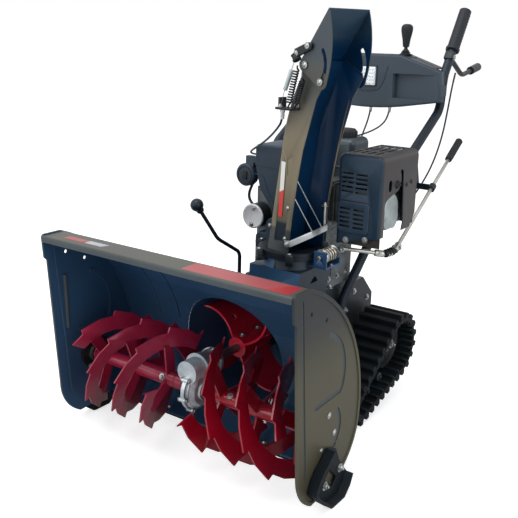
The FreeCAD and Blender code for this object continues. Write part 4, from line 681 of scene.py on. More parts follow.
def rod_sleeve(start, along, length, radius):
    """A drilled sleeve with rounded rims and a cross bolt."""
    sleeve = add_turned(start, along, [
        (0, radius * 0.6), (0, radius * 0.9), (1, radius), (length - 1, radius),
        (length, radius * 0.9), (length, radius * 0.6)], 20)
    side = Vector(along).cross(upward).normalized()
    middle = start + Vector(along).normalized() * length / 2000
    ends = [(middle + side * radius * 0.00094, side), (middle - side * radius * 0.00094, -side)]
    return join(sleeve, copies(hex_bolt(radius * 0.42), ends))


sleeves = join(rod_sleeve(near_joint - local(0, 4, 0), rearward, 16, 8.5),
               rod_sleeve(far_joint - cross_run * 0.044, cross_run, 22, 8.5),
               rod_sleeve(far_joint + crank_run * 0.018, crank_run, 26, 9))
fit(sleeves, "crank_sleeves", rod_zinc)
black_rubber = finish("black_rubber", "121519", "1e2328", 0.62, 14, gloss=0.35, grain=900, relief=0.25)
boot = add_turned(far_joint - cross_run * 0.020, (cross_run + crank_run).normalized(), [
    (-2, 5.8), (1, 9.5), (6, 10.5), (10, 8.5), (14, 10.8), (18, 8.8),
    (22, 11), (28, 10.2), (34, 6.2)], 24)
fit(boot, "crank_boot", black_rubber)
grip_line = [(0, 5.2), (0.5, 8.5), (3, 9.8), (6, 9.8), (8, 9.2)]
for index in range(9):
    reach = 13 + index * 9.5
    grip_line += [(reach, 9.2), (reach + 2, 10.4), (reach + 5, 10.4), (reach + 7, 9.2)]
grip_line += [(103, 10.8), (106, 9.2), (107.8, 5.5), (108, 0)]
crank_grip = fit(add_turned(crank_top, crank_run, grip_line, 24), "crank_grip_ribbed",
                 black_rubber)
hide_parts("crank_grip")
tube_black = finish("tube_black", "141d26", "1d2935", 0.40, 7, metal=0.2, gloss=0.35, grain=1400)
dress("crank_bracket", tube_black, 0.6)
fasten("bracket_bolt", hex_bolt(4.5), facing(leftward, (232, 781, 671)))

# ---- Chute: a bent sheet channel on a disc, powder coated grey-brown outside with a painted golden reflection, and
# blue-black inside, its front edges hemmed, with a pressed panel low on each side and a plain two-colour film.


def chute_sheen_and_shade(place, base):
    """Slate at the top, a golden-brown painted reflection in the middle, grey-brown lower down, and painted shade in
    blue-black at the very foot.
    """
    up = place.axis(2)
    foot = up.step(0.548, 0.556).blend(tone("232e3a"), tone("736b5a"))
    lower = up.step(0.58, 0.68).blend(foot, tone("968a72"))
    whole = up.step(0.74, 0.90).blend(lower, tone("414a50"))
    return up.node("ShaderNodeMix", {"data_type": "RGBA"}, {0: 0.35, 6: whole, 7: base}, 2)


def panel_dark(place, base):
    """The chute's outer tones, with painted shade at the pressed panel's foot."""
    return place.axis(2).step(0.562, 0.574).blend(tone("1c2733"), chute_sheen_and_shade(place, base))


# Painted reflection and shade: the chute's grey-brown paint carries a golden painted reflection across its middle and
# painted shade at its foot.
chute_outer_sheen = finish("chute_outer_sheen_paint", "46433a", "5a5445", 0.42, 7, metal=0.3, gloss=0.4, grain=1500, colour=chute_sheen_and_shade)
navy = finish("navy_paint", "022746", "042f52", 0.36, gloss=0.25, grain=1500)
panel_paint = finish("panel_paint", "46433a", "5a5445", 0.42, 7, metal=0.3, gloss=0.4, colour=panel_dark)
disc_paint = finish("disc_paint", "15191e", "242b33", 0.4, 15, metal=0.35, relief=0.1, worn="6c7073")
chute_foot = spot(105, 380, 0)


def chute_side(centre, normal):
    """Which finish a face of the chute's channel takes: 0 outside, 1 inside, 2 panel, 3 disc."""
    side = (centre - chute_foot).dot(beside)
    if centre.z < 0.4956:
        return 3
    if abs(normal.dot(beside)) > 0.8:
        if normal.dot(beside) * side < 0:
            return 1
        return 2 if abs(side) < 0.0592 else 0
    return 1 if normal.dot(throw) > 0.25 and abs(side) < 0.0574 else 0


chute = dress("chute", [chute_outer_sheen, navy, panel_paint, disc_paint])
for face in chute.data.polygons:
    face.material_index = chute_side(face.center, face.normal)


def cap_fade(place, base):
    """Slate in the light at the cap's top, navy below."""
    return place.axis(2).step(0.955, 1.0).blend(base, tone("22394b"))


def cap_slate(place, base):
    """Slate at the cap's top and grey-brown at its foot."""
    return place.axis(2).step(0.89, 0.96).blend(base, tone("424b51"))


def in_cap(centre, normal):
    """True where a face of the cap looks into it."""
    side = (centre - chute_foot).dot(beside)
    if abs(normal.dot(beside)) > 0.8:
        return normal.dot(beside) * side < 0 and abs(side) > 0.05
    return normal.dot(throw) > 0.2 and abs(side) < 0.0606


cap_inside = finish("cap_inside", "022746", "042f52", 0.36, gloss=0.25, grain=1500, colour=cap_fade)
cap_outside = finish("cap_outside", "4b4a45", "55544e", 0.42, 5, metal=0.1, gloss=0.3, grain=1500,
                     colour=cap_slate)
second_coat(dress("deflector", [cap_outside, cap_inside]), in_cap)
front_edge = [(50.5, 530), (57, 590), (66, 650), (79, 720), (94, 790), (110, 848)]
hems = [add_wire([on_chute(reach, side, up) for reach, up in front_edge], 1.9) for side in (-58.4, 58.4)]
fit(join(*hems), "chute_hems", chute_outer_sheen, body="chute")
film = add_block(local(0, -0.2, 0), local(13.5, 0, 130))


def band_split(place, base):
    """Pale above, red below, parted by a slanting line."""
    return (place.axis(2) - place.axis(0) * 0.5).step(0.5835, 0.5845).blend(base, tone("e4e4e0"))


film_lean = (on_chute(34, -60, 705) - on_chute(18, -60, 576)).normalized()
film.matrix_world = set_in(on_chute(13, -60.05, 580), throw, beside, film_lean)
fit(film, "chute_stripe",
    finish("band_film", "d3403c", "dc4f4a", 0.35, relief=0.02, colour=band_split), body="chute")
dots = [(on_chute(reach, side * 60, up), beside * side) for side in (-1, 1)
        for reach, up in ((45, 604), (-14, 552), (38, 530))]
fasten("chute_bolts", dome_bolt(3.2), dots, "chute")
creases = [add_wire([on_chute(reach, side, up) for reach, up in ((24, 735), (33, 722), (36, 708), (38, 680))],
                    1.6) for side in (-59.6, 59.6)]
fit(join(*creases), "chute_creases", chute_outer_sheen, body="chute")

# ---- Chute fittings: a zinc strap and two stays across its foot, two tension springs, and the bracket that
# ends the deflector's cable.
bright_zinc = finish("bright_zinc", "a9adad", "d5d8d8", 0.33, 14, metal=0.75, grain=900)
strap_line = [on_chute(40, -60.6, 519), on_chute(56, -60.6, 521), on_chute(76, -8, 540), on_chute(58, 60.6, 543),
              on_chute(42, 60.6, 543)]
strap_parts = []
for start, end in zip(strap_line, strap_line[1:]):
    run = (end - start).normalized()
    out = Vector(upward).cross(run).normalized()
    strip = add_block(local(-0.6, -1, -7.5), Vector(((end - start).length + 0.0006, 0.001, 0.0075)),
                      0.4)
    strip.matrix_world = set_in(start, run, out, run.cross(out))
    strap_parts.append(strip)
for low, high in ((strap_line[2], on_chute(63.5, -56.5, 628)),
                  (strap_line[2].lerp(strap_line[3], 0.62), on_chute(69.5, -56.5, 670))):
    strap_parts.append(add_rod(low + local(0, 0, 6), high, 1.4, sides=12, round_by=0.3))
strap_parts += [add_rod(on_chute(53, 56, 537), on_chute(53, 56, 604), 3.4, sides=16, round_by=0.5),
                copies(stud_nut(5.8), [(on_chute(53, 56, 595), upward)]),
                copies(stud_nut(5), [(on_chute(48, -61.6, 520), -beside)])]
strap = fit(join(*strap_parts), "strap_and_stays", bright_zinc, body="chute")
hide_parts("chute_hoop")
dress("cable_bracket", claw_paint, 0.6)
spring_steel = finish("spring_steel", "0d1013", "1c2126", 0.35, 40, metal=0.6, relief=0.1, worn="50565a")
coils = []
for low, high, turns in ((51, (77, 924), 13), (71, (96, 902), 10)):
    start, end = on_chute(low, -76, 831), on_chute(high[0], -76, high[1])
    run = (end - start).normalized()
    coil = helix(start + run * 0.012, run, 0.0058, ((end - start).length - 0.022) / turns, turns, 8)
    line = [start + run * 0.001, start + run * 0.008] + coil + [end - run * 0.006, end]
    coils.append(add_wire(line, 1.9, sides=1, steps=3))
springs = fit(join(*coils), "tension_springs", spring_steel, body="chute")
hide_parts("chute_springs")
fasten("cable_clamp", stud_nut(4.5), [(on_chute(31, -80, 833), upward), (on_chute(66, -62.6, 838), -beside)],
       "chute")

# ---- Deflector: a folded cap hinged across the chute's top, with a guide slot each side, an arm that the
# springs pull and a cable that tilts it.
dress("deflector_arm", claw_paint, 1.2)
hinges = [(on_chute(reach, side * 65.4, up), beside * side) for side in (-1, 1)
          for reach, up in ((88, 926), (135, 892))]
fasten("hinge_bolts", dome_bolt(4.6), hinges, "chute")
fasten("arm_bolts", dome_bolt(4), [(on_chute(66, -71.3, 949), -beside), (on_chute(99, -71.3, 966), -beside)],
       "deflector")
arm_ring = add_turned(on_chute(60.5, -67.3, 944), on_chute(-12, 0, 18) - on_chute(0, 0, 0), [
    (-12, 7.8), (-12, 9.2), (-10.5, 10.2), (-8.5, 10.2), (-7.5, 8.6),
    (0.5, 8.6), (1.5, 9.5), (3, 9.5), (4, 7.8)], 20)
fit(arm_ring, "arm_ring", claw_paint, body="deflector")
wire_points = [on_chute(*place) for place in ((62, -67.5, 940), (57, -69, 925), (50, -72, 903), (42, -75, 880),
                                              (34, -76, 855), (30, -77, 834))]
pull_wire = fit(add_wire(wire_points, 0.7), "pull_wire", turned_steel, body=None)
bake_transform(pull_wire)
sleeve_run = wire_points[4] - wire_points[1]
pale_sleeve = finish("pale_sleeve", "b3bfc2", "d3dcdd", 0.4, 20)
cable_sleeve = add_turned(wire_points[1] + sleeve_run * 0.15, sleeve_run, [
    (0, 1.2), (0.5, 4.4), (2, 5.2), (46, 5.2), (47.5, 4.4), (48, 1.2)], 20)
fit(cable_sleeve, "cable_sleeve", pale_sleeve, body="chute")
cable_skin = finish("cable_skin", "14181d", "22282f", 0.45, 30, gloss=0.45, relief=0.1)
tilt_line = spots((74, 934, 802), (73, 932, 766), (62, 910, 736), (30, 878, 714), (-20, 846, 698), (-66, 800, 686),
                  (-98, 744, 676), (-118, 682, 670), (-126, 622, 668), (-122, 564, 672), (-108, 508, 682),
                  (-80, 458, 696), (-44, 428, 712), (6, 390, 733), (54, 350, 756), (96, 315, 780),
                  (121.3, 299.3, 802), (121.3, 299.3, 828))
tilt_cable = fit(add_wire(tilt_line, 2.6), "tilt_cable_smooth", cable_skin, body=None)
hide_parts("deflector_cable", "chute_cable")
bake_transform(tilt_cable)
ferrule = add_turned(spot(121.3, 299.3, 806), upward, [
    (0, 2.7), (0.5, 4.2), (8, 4.6), (15.5, 4.6), (16, 6), (20.5, 6),
    (21, 2.7)], 16)
fit(ferrule, "chute_ferrule", zinc, body="chute")

# ---- Engine: a cast block with a finned cylinder to the operator's left, its valve cover held by bolts and
# a spark plug whose lead runs up under the guard; a bolted cover and cast ribs on each side.
engine_cast = finish("engine_cast", "4e5356", "6e7477", 0.5, 25, metal=0.65, grain=380, relief=0.5, worn="8b9092")
dress("engine_block", engine_cast, 0.6)
cover_cast = finish("cover_cast", "98a3a3", "bcc6c5", 0.38, 22, metal=0.7, grain=420, relief=0.35, worn="d5dddc")
dress("valve_cover", cover_cast, 0.8)
fasten("valve_bolts", hex_bolt(5, 0.8),
       facing(leftward, (308, 457, 578), (308, 505, 556), (308, 512, 600), (308, 468, 626)))
plug_boot = add_turned(spot(296, 486, 642), (0.55, 0.25, 0.35), [
    (0, 4), (2, 7.5), (20, 8.2), (22, 9.5), (26, 9.5), (28, 7.8),
    (34, 7.2), (36, 4)], 18)
plug_lead = add_wire(spots((292, 482, 640), (286, 502, 664), (280, 528, 668), (272, 548, 640), (250, 566, 618)),
                     3.5)
fit(join(plug_boot, plug_lead), "plug_boot", black_rubber)
covers = [add_block(spot(-90, 506, 374), spot(-84, 616, 452), 2.2),
          add_block(spot(-92.5, 520, 388), spot(-88, 602, 438), 2),
          add_turned(spot(-91, 560, 413), rightward, [(-2, 26), (3, 26), (4.5, 24),
                                                      (4.5, 15), (2.5, 13.5), (2.5, 0)], 32)]
ribs = [add_wire(spots((-84.8, 506, up), (-84.8, 622, up)), 2.4, 2) for up in (500, 518, 536, 554, 572)]
covers += [add_block(spot(129, 510, 374), spot(135, 606, 452), 2.2),
           add_block(spot(133, 522, 388), spot(137.5, 594, 438), 2)]
ribs += [add_wire(spots((129.8, 530, up), (129.8, 612, up)), 2.4, 2) for up in (475, 493, 511, 529)]
fit(join(*covers, *ribs), "crankcase_cover", engine_cast)
places = facing(rightward, *[(-90, back, up) for back in (513, 561, 609) for up in (381, 445)])
places += facing(leftward, *[(135, back, up) for back in (516, 558, 600) for up in (381, 445)])
fasten("crankcase_bolts", hex_bolt(4.5, 0.8), places)
feet = [add_block(spot(side - 14, back - 9, 352.2), spot(side + 14, back + 9, 358), 1.2)
        for side in (-70, 115) for back in (520, 622)]
fit(join(*feet), "engine_feet", engine_cast)
fasten("engine_bolts", stud_nut(5.5),
       facing(upward, *[(side, back, 358) for side in (-92, 137) for back in (520, 622)]))
sump = add_turned(spot(-60, 499.5, 372), forward, [
    (-4, 11), (4, 11), (5, 9.5), (7, 9.5), (7.2, 0)], 20)
dip_cap = add_turned(spot(-85.5, 560, 470), (-0.9, 0, 0.5), [
    (-4, 12), (10, 12), (11, 17), (18, 17), (20, 14), (20.5, 0)], 24)
fit(join(sump, dip_cap), "oil_caps", black_rubber)

# ---- Muffler guard: deep-pressed sheet with louvres over the muffler, slate outside, two screws low on its
# front, and heat shields inside.


def guard_light_and_shade(place, base):
    """Painted light and shade by the way a face looks: slate on the front, a lighter brown-grey on the sides,
    near-black on the faces that look up.
    """
    facing_way = place.node("ShaderNodeNewGeometry", out=1)
    sides = facing_way.axis(1).step(-0.75, -0.35).blend(base, tone("423e3f"))
    return facing_way.axis(2).step(0.5, 0.8).blend(sides, tone("222225"))


# Painted light and shade: the guard's sides are lighter and its tops near-black according to the way they face.
guard_slate = finish("guard_slate", "223445", "2d4154", 0.42, 9, metal=0.1, gloss=0.28, grain=1300,
                     relief=0.08, colour=guard_light_and_shade)
dress("muffler_guard", guard_slate, 0.6)
fasten("guard_screws", hex_bolt(4.8, 0.7), facing(forward, (232, 417.6, 524), (282, 417.6, 531)))
rivets = copies(dome_bolt(3), facing(leftward, (318.2, 548, 648), (318.2, 574, 652)))
fit(rivets, "guard_rivets", claw_paint)
shields = [add_block(spot(204.6, 425, 513), spot(316.4, 426.6, 646), 0.6)]
shields += [add_wire(spots((216, 425, up), (305, 425, up)), 1.4, 2) for up in (530, 580, 632)]
sooty = finish("sooty_steel", "2e2a28", "55504c", 0.55, 16, metal=0.7, relief=0.3)
dress("muffler", sooty, 1)
shields.append(add_block(spot(258, 597.5, 545), spot(316.4, 599, 704), 0.6))
shields += [add_wire(spots((268, 597.5, up), (308, 597.5, up)), 1.4, 2) for up in (580, 640)]
fit(join(*shields), "heat_shield", sooty)

# ---- Fuel tank: two pressed halves seamed together behind the air cleaner, satin black, with a ribbed cap.
tank_black = finish("tank_black", "333e45", "424e56", 0.36, metal=0.3)
dress("fuel_tank", tank_black, 0.5)
dress("fuel_cap", black_rubber, 0.6)
teeth = []
for index in range(18):
    out = Vector((cos(pi * index / 9), sin(pi * index / 9), 0))
    teeth.append((spot(100, 630, 744) + out * 0.0292, out))
tooth = add_block(local(-2.2, -6, 0), local(2.2, 6, 2.2), 0.7)
fit(copies(tooth, teeth), "cap_grips", black_rubber)
fasten("tank_screws", dome_bolt(2.6),
       facing(upward, *[(side, back, 665.2) for side in (152.5, -72.5) for back in (600, 660)]))

# ---- Air cleaner cover and belt cover: moulded plastic on the engine's front, with creases and screws.
slate_plastic = finish("slate_plastic", "1f2d3a", "293949", 0.48, 9, gloss=0.3, grain=900, relief=0.15)
dress("air_cover", slate_plastic, 0.8)
dress("belt_cover", slate_plastic, 0.8)
front = 459.6
creases = join(add_wire(spots((-65, front, 664), (-30, front, 662), (20, front, 661), (58, front, 661)), 1.2),
               add_wire(spots((-63, front, 640), (-48, front, 641), (-40, front, 638), (-33, front, 622),
                              (-22, front, 596), (-8, front, 572)), 1.3))
fit(creases, "air_creases", slate_plastic)
deep = finish("deep_shadow", "05070a", "0d1115", 0.7, 20, relief=0.1)
hollow = add_turned(spot(6, 460.4, 572), forward, [
    (0.0, 10.8), (1.1, 10.8), (1.3, 8.8), (0.2, 8.2), (0.1, 0)], 24)
fit(hollow, "air_socket", deep)
fasten("belt_bolts", hex_bolt(4.2), facing(forward, (-56, 466.8, 440), (100, 466.8, 440), (100, 466.8, 515),
                                              (-56, 466.8, 340)))
belt_ribs = [add_wire(spots((side, 466.6, 300), (side, 466.6, 360), (side, 466.6, 430)), 1.8)
             for side in (-30, 8, 46, 84)]
fit(join(*belt_ribs), "belt_ribs", slate_plastic)

# ---- Electric starter: a drum with a pale end plate held by two screws, its switch box and short lead.
dress("starter_motor", finish("starter_drum", "2a2f33", "3d4347", 0.42, 15, metal=0.5, relief=0.1), 0.6)
pale_plate = finish("pale_plate", "b9babe", "d8d9dc", 0.42, 25, metal=0.35, relief=0.15)
plate_face = add_turned(spot(-70, 460.2, 527), forward, [
    (-6, 30), (-4, 32.6), (-1, 32.6), (0.2, 31.2), (0.6, 29), (0.6, 28.5),
    (0.3, 27.5), (0.4, 0)], 40)
fit(plate_face, "starter_plate", pale_plate)
fasten("starter_screws", hex_bolt(4), facing(forward, (-67, 459.9, 549), (-73, 459.9, 505)))
dress("starter_switch", slate_plastic, 0.8)
rocker = add_block(spot(-113, 466.5, 620), spot(-97, 471, 642), 1.5)
switch_rim = add_turned(spot(-105, 470.2, 631), forward, [
    (-2, 23.5), (0.8, 23.5), (1.6, 22.2), (0.8, 20.5), (-2, 20.5)], 32)
fit(join(rocker, switch_rim), "starter_rocker", deep)
lead = fit(add_wire(spots((-86, 483, 611), (-96, 483, 593), (-100, 483, 573), (-92, 483, 557), (-78, 483, 547)),
                    3.8), "starter_wire", cable_skin)
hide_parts("starter_lead")

# ---- Fan shroud and recoil starter: pressed sheet round the fan, with a slotted dome and a pull handle.
dress("fan_shroud", tank_black, 0.6)
dress("recoil_starter", slate_plastic, 0.6)
slots = []
for ring, count in ((0.038, 12), (0.058, 18)):
    for index in range(count):
        slot = add_block(local(-2.2, -7.5, -0.3), local(2.2, 7.5, 0.4), 0.3)
        slot.matrix_world = (Matrix.Translation(spot(10, 710.1, 480)) @ Matrix.Rotation(-pi / 2, 4, "X")
                             @ Matrix.Rotation(2 * pi * index / count, 4, "Z") @ Matrix.Translation((0, ring, 0)))
        slots.append(slot)
fit(join(*slots), "recoil_slots", deep)
recoil_hub = add_turned(spot(10, 709.5, 480), rearward, [
    (0, 24), (2, 23.5), (3.5, 20), (3.5, 12), (2.5, 10), (2.5, 0)], 32)
fit(recoil_hub, "recoil_hub", slate_plastic)
corners = [pi / 4, 3 * pi / 4, 5 * pi / 4, 7 * pi / 4]
fasten("recoil_bolts", hex_bolt(4),
       facing(rearward, *[(10 + 76 * cos(turn), 707, 480 + 76 * sin(turn)) for turn in corners]))
pull = add_turned(spot(-62, 690, 566), (-0.2, 0.3, 0.9), [
    (-20, 6), (-18, 12), (0.0, 13), (6, 8), (10, 7), (16, 10.5),
    (24, 12.5), (34, 12), (40, 8), (41.5, 0)], 24)
fit(pull, "pull_handle", black_rubber)

# ---- Frame and deck: folded steel plate between the tracks, satin black, bolted at its corners.
frame_black = finish("frame_black", "0f151b", "19212a", 0.44, 7, metal=0.35, grain=1200, relief=0.1)
dress("main_frame", frame_black, 0.6)
dress("engine_deck", frame_black, 0.6)
frame_holes = ((480, 300), (560, 305), (690, 300), (770, 262), (545, 170), (640, 150))
fasten("frame_bolts", hex_bolt(5.5), facing(leftward, *[(120, back, up) for back, up in frame_holes]),
       mirrored=True)
fasten("frame_rear_bolts", hex_bolt(5),
       facing(rearward, *[(side, 800, up) for side in (-80, 80) for up in (190, 250)]))

# ---- Tracks: one moulded rubber band on each side with cross bars outside and drive teeth inside, on a
# spoked drive wheel, an idler and two small rollers hung from a plate.
track_rubber = finish("track_rubber", "080c10", "12191f", 0.62, 22, gloss=0.18, relief=0.5, worn="1c2426")
wheel_black = finish("wheel_black", "101418", "1f262b", 0.45, 16, gloss=0.45, grain=900, relief=0.15, worn="474e52")
rear_wheel, front_wheel = spot(0, 735, 153), spot(0, 520, 48)
track_line = (rear_wheel - front_wheel).normalized()
track_across = Vector(leftward).cross(track_line)
rear_radius, front_radius, band, rib_depth = 0.097, 0.048, 0.024, 0.0165
spread = acos((front_radius - rear_radius) / (rear_wheel - front_wheel).length)


def band_place(centre, radius, angle):
    """A place on the band's inner face, with the direction that points in to the loop."""
    out = track_line * cos(angle) + track_across * sin(angle)
    return centre + out * radius, -out


rear_wrap, front_wrap = 2 * spread, 2 * pi - 2 * spread
teeth = [band_place(rear_wheel, rear_radius - band, spread - rear_wrap * (index + 0.5) / 13) for index in range(13)]
teeth += [band_place(front_wheel, front_radius - band, spread + front_wrap * (index + 0.5) / 6)
          for index in range(6)]
for side in (spread, -spread):
    low, inward = band_place(front_wheel, front_radius - band, side)
    high, inward = band_place(rear_wheel, rear_radius - band, side)
    teeth += [(low + (high - low) * (index + 0.7) / 7.4, inward) for index in range(7)]
tooth_rubber = finish("tooth_rubber", "10181c", "1d2a30", 0.5, 22, gloss=0.3, relief=0.3)
tooth_rows = []
for half, side in ((20.5, 232.5), (10, 152.5)):
    tooth = add_block(local(-half, -3.2, -0.5), local(half, 3.2, 6.2), 1.4)
    tooth_rows.append(copies(tooth, [(place + aside(side), inward) for place, inward in teeth]))
fit(both_sides(join(*tooth_rows)), "track_teeth", tooth_rubber)
for node in ("track_left", "track_right"):
    dress(node, track_rubber, 1.4)
outline = [band_place(rear_wheel, rear_radius - rib_depth, spread - rear_wrap * index / 14)[0]
           for index in range(15)]
outline += [band_place(front_wheel, front_radius - rib_depth, -spread - front_wrap * index / 8)[0]
            for index in range(9)]
outline.append(outline[0])
edge_ribs = [add_wire([place + aside(side) for place in outline], 1.8, 2, 1) for side in (140.5, 254.5)]
fit(both_sides(join(*edge_ribs)), "track_edges", track_rubber)
for node, coat, edge in (("drive_wheels", wheel_black, 1), ("idler_wheels", wheel_black, 1),
                         ("drive_axle", turned_steel, 0.6), ("idler_axle", turned_steel, 0.6),
                         ("track_rails", frame_black, 0.8)):
    dress(node, coat, edge)
hub_turns = (0.4, 0.4 + 2 * pi / 3, 0.4 + 4 * pi / 3)
fasten("hub_nuts", hex_bolt(4.5),
       facing(leftward, *[(211, 735 + 19.5 * cos(turn), 153 + 19.5 * sin(turn)) for turn in hub_turns]),
       mirrored=True)
fasten("axle_nuts", stud_nut(8), facing(leftward, (222, 735, 153), (222, 520, 48)), mirrored=True)
rollers = []
for share in (0.32, 0.62):
    low, inward = band_place(front_wheel, front_radius - band, -spread)
    high, inward = band_place(rear_wheel, rear_radius - band, -spread)
    middle = low + (high - low) * share + inward * 0.0205
    rollers.append(add_turned(middle + aside(150), leftward, [
        (0, 6), (0, 11), (1, 12.5), (10, 12.5), (11, 11.5), (20, 10.5),
        (58, 10.5), (68, 11.5), (69, 12.5), (78, 12.5), (79, 11), (79, 6)], 24))
    rollers.append(add_rod(middle + aside(125), middle + aside(233), 5.5, sides=14, round_by=0.8))
fit(both_sides(join(*rollers)), "track_rollers", wheel_black)
fasten("rail_nuts", hex_bolt(5.2),
       facing(leftward, (126.1, 600, 70), (126.1, 660, 100), (126.1, 700, 185), (126.1, 560, 66)), mirrored=True)

# ---- Handles: bent steel tubes, satin black, bolted to the chassis at their feet, with hard rubber grips
# and a clutch lever under each.
dress("handle_left", tube_black, 0)
dress("handle_right", tube_black, 0)
fasten("handle_bolts", stud_nut(6), facing(leftward, (144.8, 590, 205), (144.8, 592, 232), (144.8, 595, 276)),
       mirrored=True)
grip_rubber = finish("grip_rubber", "0e1318", "192027", 0.58, 16, gloss=0.4, grain=1000, relief=0.3, worn="3a3f44")
dress("grips", grip_rubber, 1.5)
grip_low, grip_end = spot(215, 970, 883), spot(215, 1088, 1058)
grip_run = (grip_end - grip_low).normalized()
dimples = []
for index in range(12):
    for turn in (-62, -28, 28, 62, 152, 208):
        across_grip = Vector(leftward) * sin(radians(turn)) + grip_run.cross(leftward) * cos(radians(turn))
        dimples.append((grip_end - grip_run * (0.010 + index * 0.0092) + across_grip * 0.0168, across_grip))
stud = add_turned((0, 0, 0), upward, [(-0.4, 2.6), (0.5, 2.2), (0.8, 1.2), (0.8, 0)], 8)
fit(both_sides(copies(stud, dimples)), "grip_studs", grip_rubber)
collar_place = grip_end - grip_run * 0.124
grip_collar = add_turned(collar_place, grip_run, [
    (-6, 12.7), (-6, 17), (-5, 19.2), (2, 19.8), (4, 18.8), (4, 12.7)], 28)
grip_nose = add_turned(grip_end - grip_run * 0.001, grip_run, [
    (0.0, 16.9), (0.4, 16), (1.2, 13), (1.6, 6), (1.7, 0)], 28)
fit(both_sides(join(grip_collar, grip_nose)), "grip_ends", grip_rubber)
dress("clutch_levers", claw_paint, 0.8)
pivot = collar_place - grip_run * 0.027
pivot_block = add_block(local(-12, -11, -12), local(12, 16, 12), 2)
pivot_block.matrix_world = Matrix.Translation(pivot) @ grip_run.to_track_quat("Z", "Y").to_matrix().to_4x4()
clamp_bolts = copies(hex_bolt(4.5), [(pivot + aside(12), leftward), (pivot - aside(12), rightward)])
fit(both_sides(pivot_block), "lever_clamps", claw_paint)
fit(both_sides(clamp_bolts), "clamp_bolts", zinc)

# ---- Console: a moulded slate shell across the handles, with two recessed wings, a raised frame round the
# lamp, seams, and screws; the faceted lamp and the gear lever stand on it.


def shell_painted_shade(place, base):
    """Slate, with painted shade darkening the faces that look up."""
    return place.node("ShaderNodeNewGeometry", out=1).axis(2).step(0.55, 0.85).blend(base, tone("222a32"))


# Painted shade: the shell's faces that look up are darker.
slate_shell = finish("slate_shell", "343e48", "404b56", 0.50, 2.5, gloss=0.28, grain=1100, relief=0.18,
                     colour=shell_painted_shade)
dress("console", slate_shell, 0.8)
face = 919.4
lamp_frame = add_wire([spot(side, face, up) for side, up in (
    (-58, 906), (-58, 880), (-52, 856), (-40, 840), (-22, 834), (22, 834), (40, 840), (52, 856), (60, 880),
    (66, 906))], 1.6)
lamp_rim = [add_block(spot(left, 916.5, low), spot(right, 921, high), 0.8) for left, right, low, high in (
    (-33, 33, 902, 905), (-33, 33, 847, 850), (-33, -30, 847, 905), (30, 33, 847, 905))]
fit(join(lamp_frame, *lamp_rim), "lamp_frame", slate_shell)
top_seam = add_wire(spots((-206, 963, 902), (-103, 963, 937.4), (103, 963, 937.4), (206, 963, 902)), 1.2, 2)
gate_seam = add_wire(spots((74, 930, 937.2), (74, 990, 937.2), (124, 990, 930.6), (124, 930, 930.6)), 1.2, 2)
fit(join(top_seam, gate_seam), "console_seams", slate_shell)
gate = add_block(spot(88, 938, 936.6), spot(110, 985, 939), 0.6)
gaiter = add_turned(spot(99, 959, 937.8), upward, [
    (0, 16), (2, 16.5), (4, 12.5), (6, 13.8), (8, 10), (10, 11.2),
    (13, 7.2), (16, 5.6)], 24)
fit(join(gate, gaiter), "lever_gaiter", black_rubber)
knob_shape = add_turned(spot(99, 959, 958), upward, [
    (0, 5.2), (1, 8.5), (5, 9.4), (20, 11.2), (34, 14.2), (45, 16.3),
    (52, 16.6), (57, 15.5), (61, 12.5), (63.5, 7.5), (64, 0)], 32)
stick = add_rod(spot(99, 959, 938), spot(99, 959, 960), 5, sides=16, round_by=0.6)
lever = fit(join(knob_shape, stick), "gear_knob", black_rubber)
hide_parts("gear_lever")
facets = []
for column in range(6):
    for row in range(5):
        low = spot(-27.4 + column * 9.2, 909.2, 852.6 + row * 9.6)
        facet = add_rod(low + local(4.4, 3, 4.6), low + local(4.4, -2.1, 4.6), 6.2,
                        1.2, 4)
        pick(facet)
        bpy.ops.object.transform_apply(location=True, rotation=True, scale=True)
        facets.append(facet)
lens = finish("lens_crystal", "b9c2c8", "f2f5f6", 0.12, 260, gloss=0.8, grain=300, relief=0.1, coat=1.0)
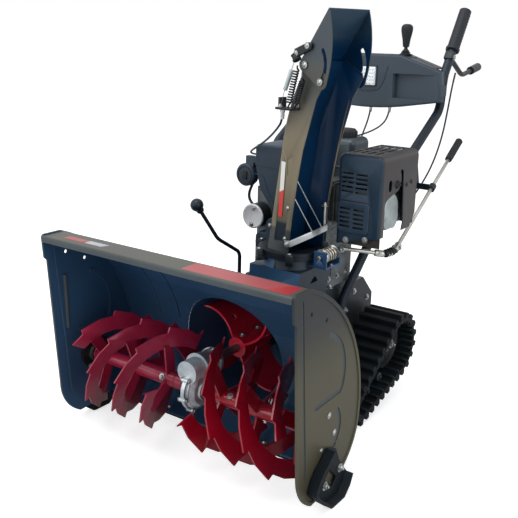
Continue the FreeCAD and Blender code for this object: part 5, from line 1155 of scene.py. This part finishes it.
# Painted light: a weak emission makes the lens glow faintly.
glow = lens.node_tree.nodes["Principled BSDF"].inputs
glow["Emission Color"].default_value, glow["Emission Strength"].default_value = (0.9, 0.95, 1.0, 1), 0.12
dress("headlight", lens, 0.8)
fit(join(*facets), "lamp_facets", lens, 15)

# ---- Height lever: a bent black rod with a ball, in a slotted guide on the chassis.
dress("height_lever", tube_black, 0)
ball_place = spot(-159, 340, 564)
ball_end = (ball_place - spot(-130, 390, 470)).normalized()
ball_collar = add_turned(ball_place - ball_end * 0.022, ball_end, [
    (-2, 5.2), (0, 8.5), (6, 10.5), (10, 9.8)], 20)
guide_plate = add_block(spot(-128, 452, 338), spot(-98, 476, 341), 0.8)
guide_tube = add_turned(spot(-113, 464, 330), upward, [
    (0, 5.2), (0, 10), (13, 10), (15, 8), (15, 5.2)], 20)
fit(join(ball_collar, guide_plate, guide_tube), "height_guide", frame_black)

# ---- Cables: sheathed control cables with crimped ends, from the console and the levers to the chassis.
drop_line = spots((13, 934, 800), (12, 932, 762), (4, 892, 690), (8, 852, 604), (18, 806, 524), (30, 768, 450),
                  (36, 735, 390), (36, 735, 324))
lever_line = spots((234, 1006, 891), (236, 985, 855), (237, 966, 790), (236, 944, 716), (232, 900, 640),
                   (220, 836, 572), (188, 788, 510), (150, 746, 454), (116, 718, 402), (108, 712, 362),
                   (108, 712, 324))
other_line = [Vector((-place.x, place.y, place.z)) for place in lever_line]
cables = [add_wire(line, 2.6) for line in (drop_line, lever_line, other_line)]
control = fit(join(*cables), "control_cables_smooth", cable_skin)
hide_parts("control_cables")
crimps = []
for line in (drop_line, lever_line, other_line):
    run = (line[-2] - line[-1]).normalized()
    crimps.append((line[-1] + run * 0.006, run))
for line in (drop_line, tilt_line):
    run = (line[1] - line[0]).normalized()
    crimps.append((line[0] + run * 0.004, run))
crimp = add_turned((0, 0, 0), upward, [
    (0, 2.7), (0.4, 5.8), (4, 6.2), (4.5, 4.6), (20, 4.4), (24, 3.4),
    (24.5, 2.7)], 14)
fasten("cable_crimps", crimp, crimps)
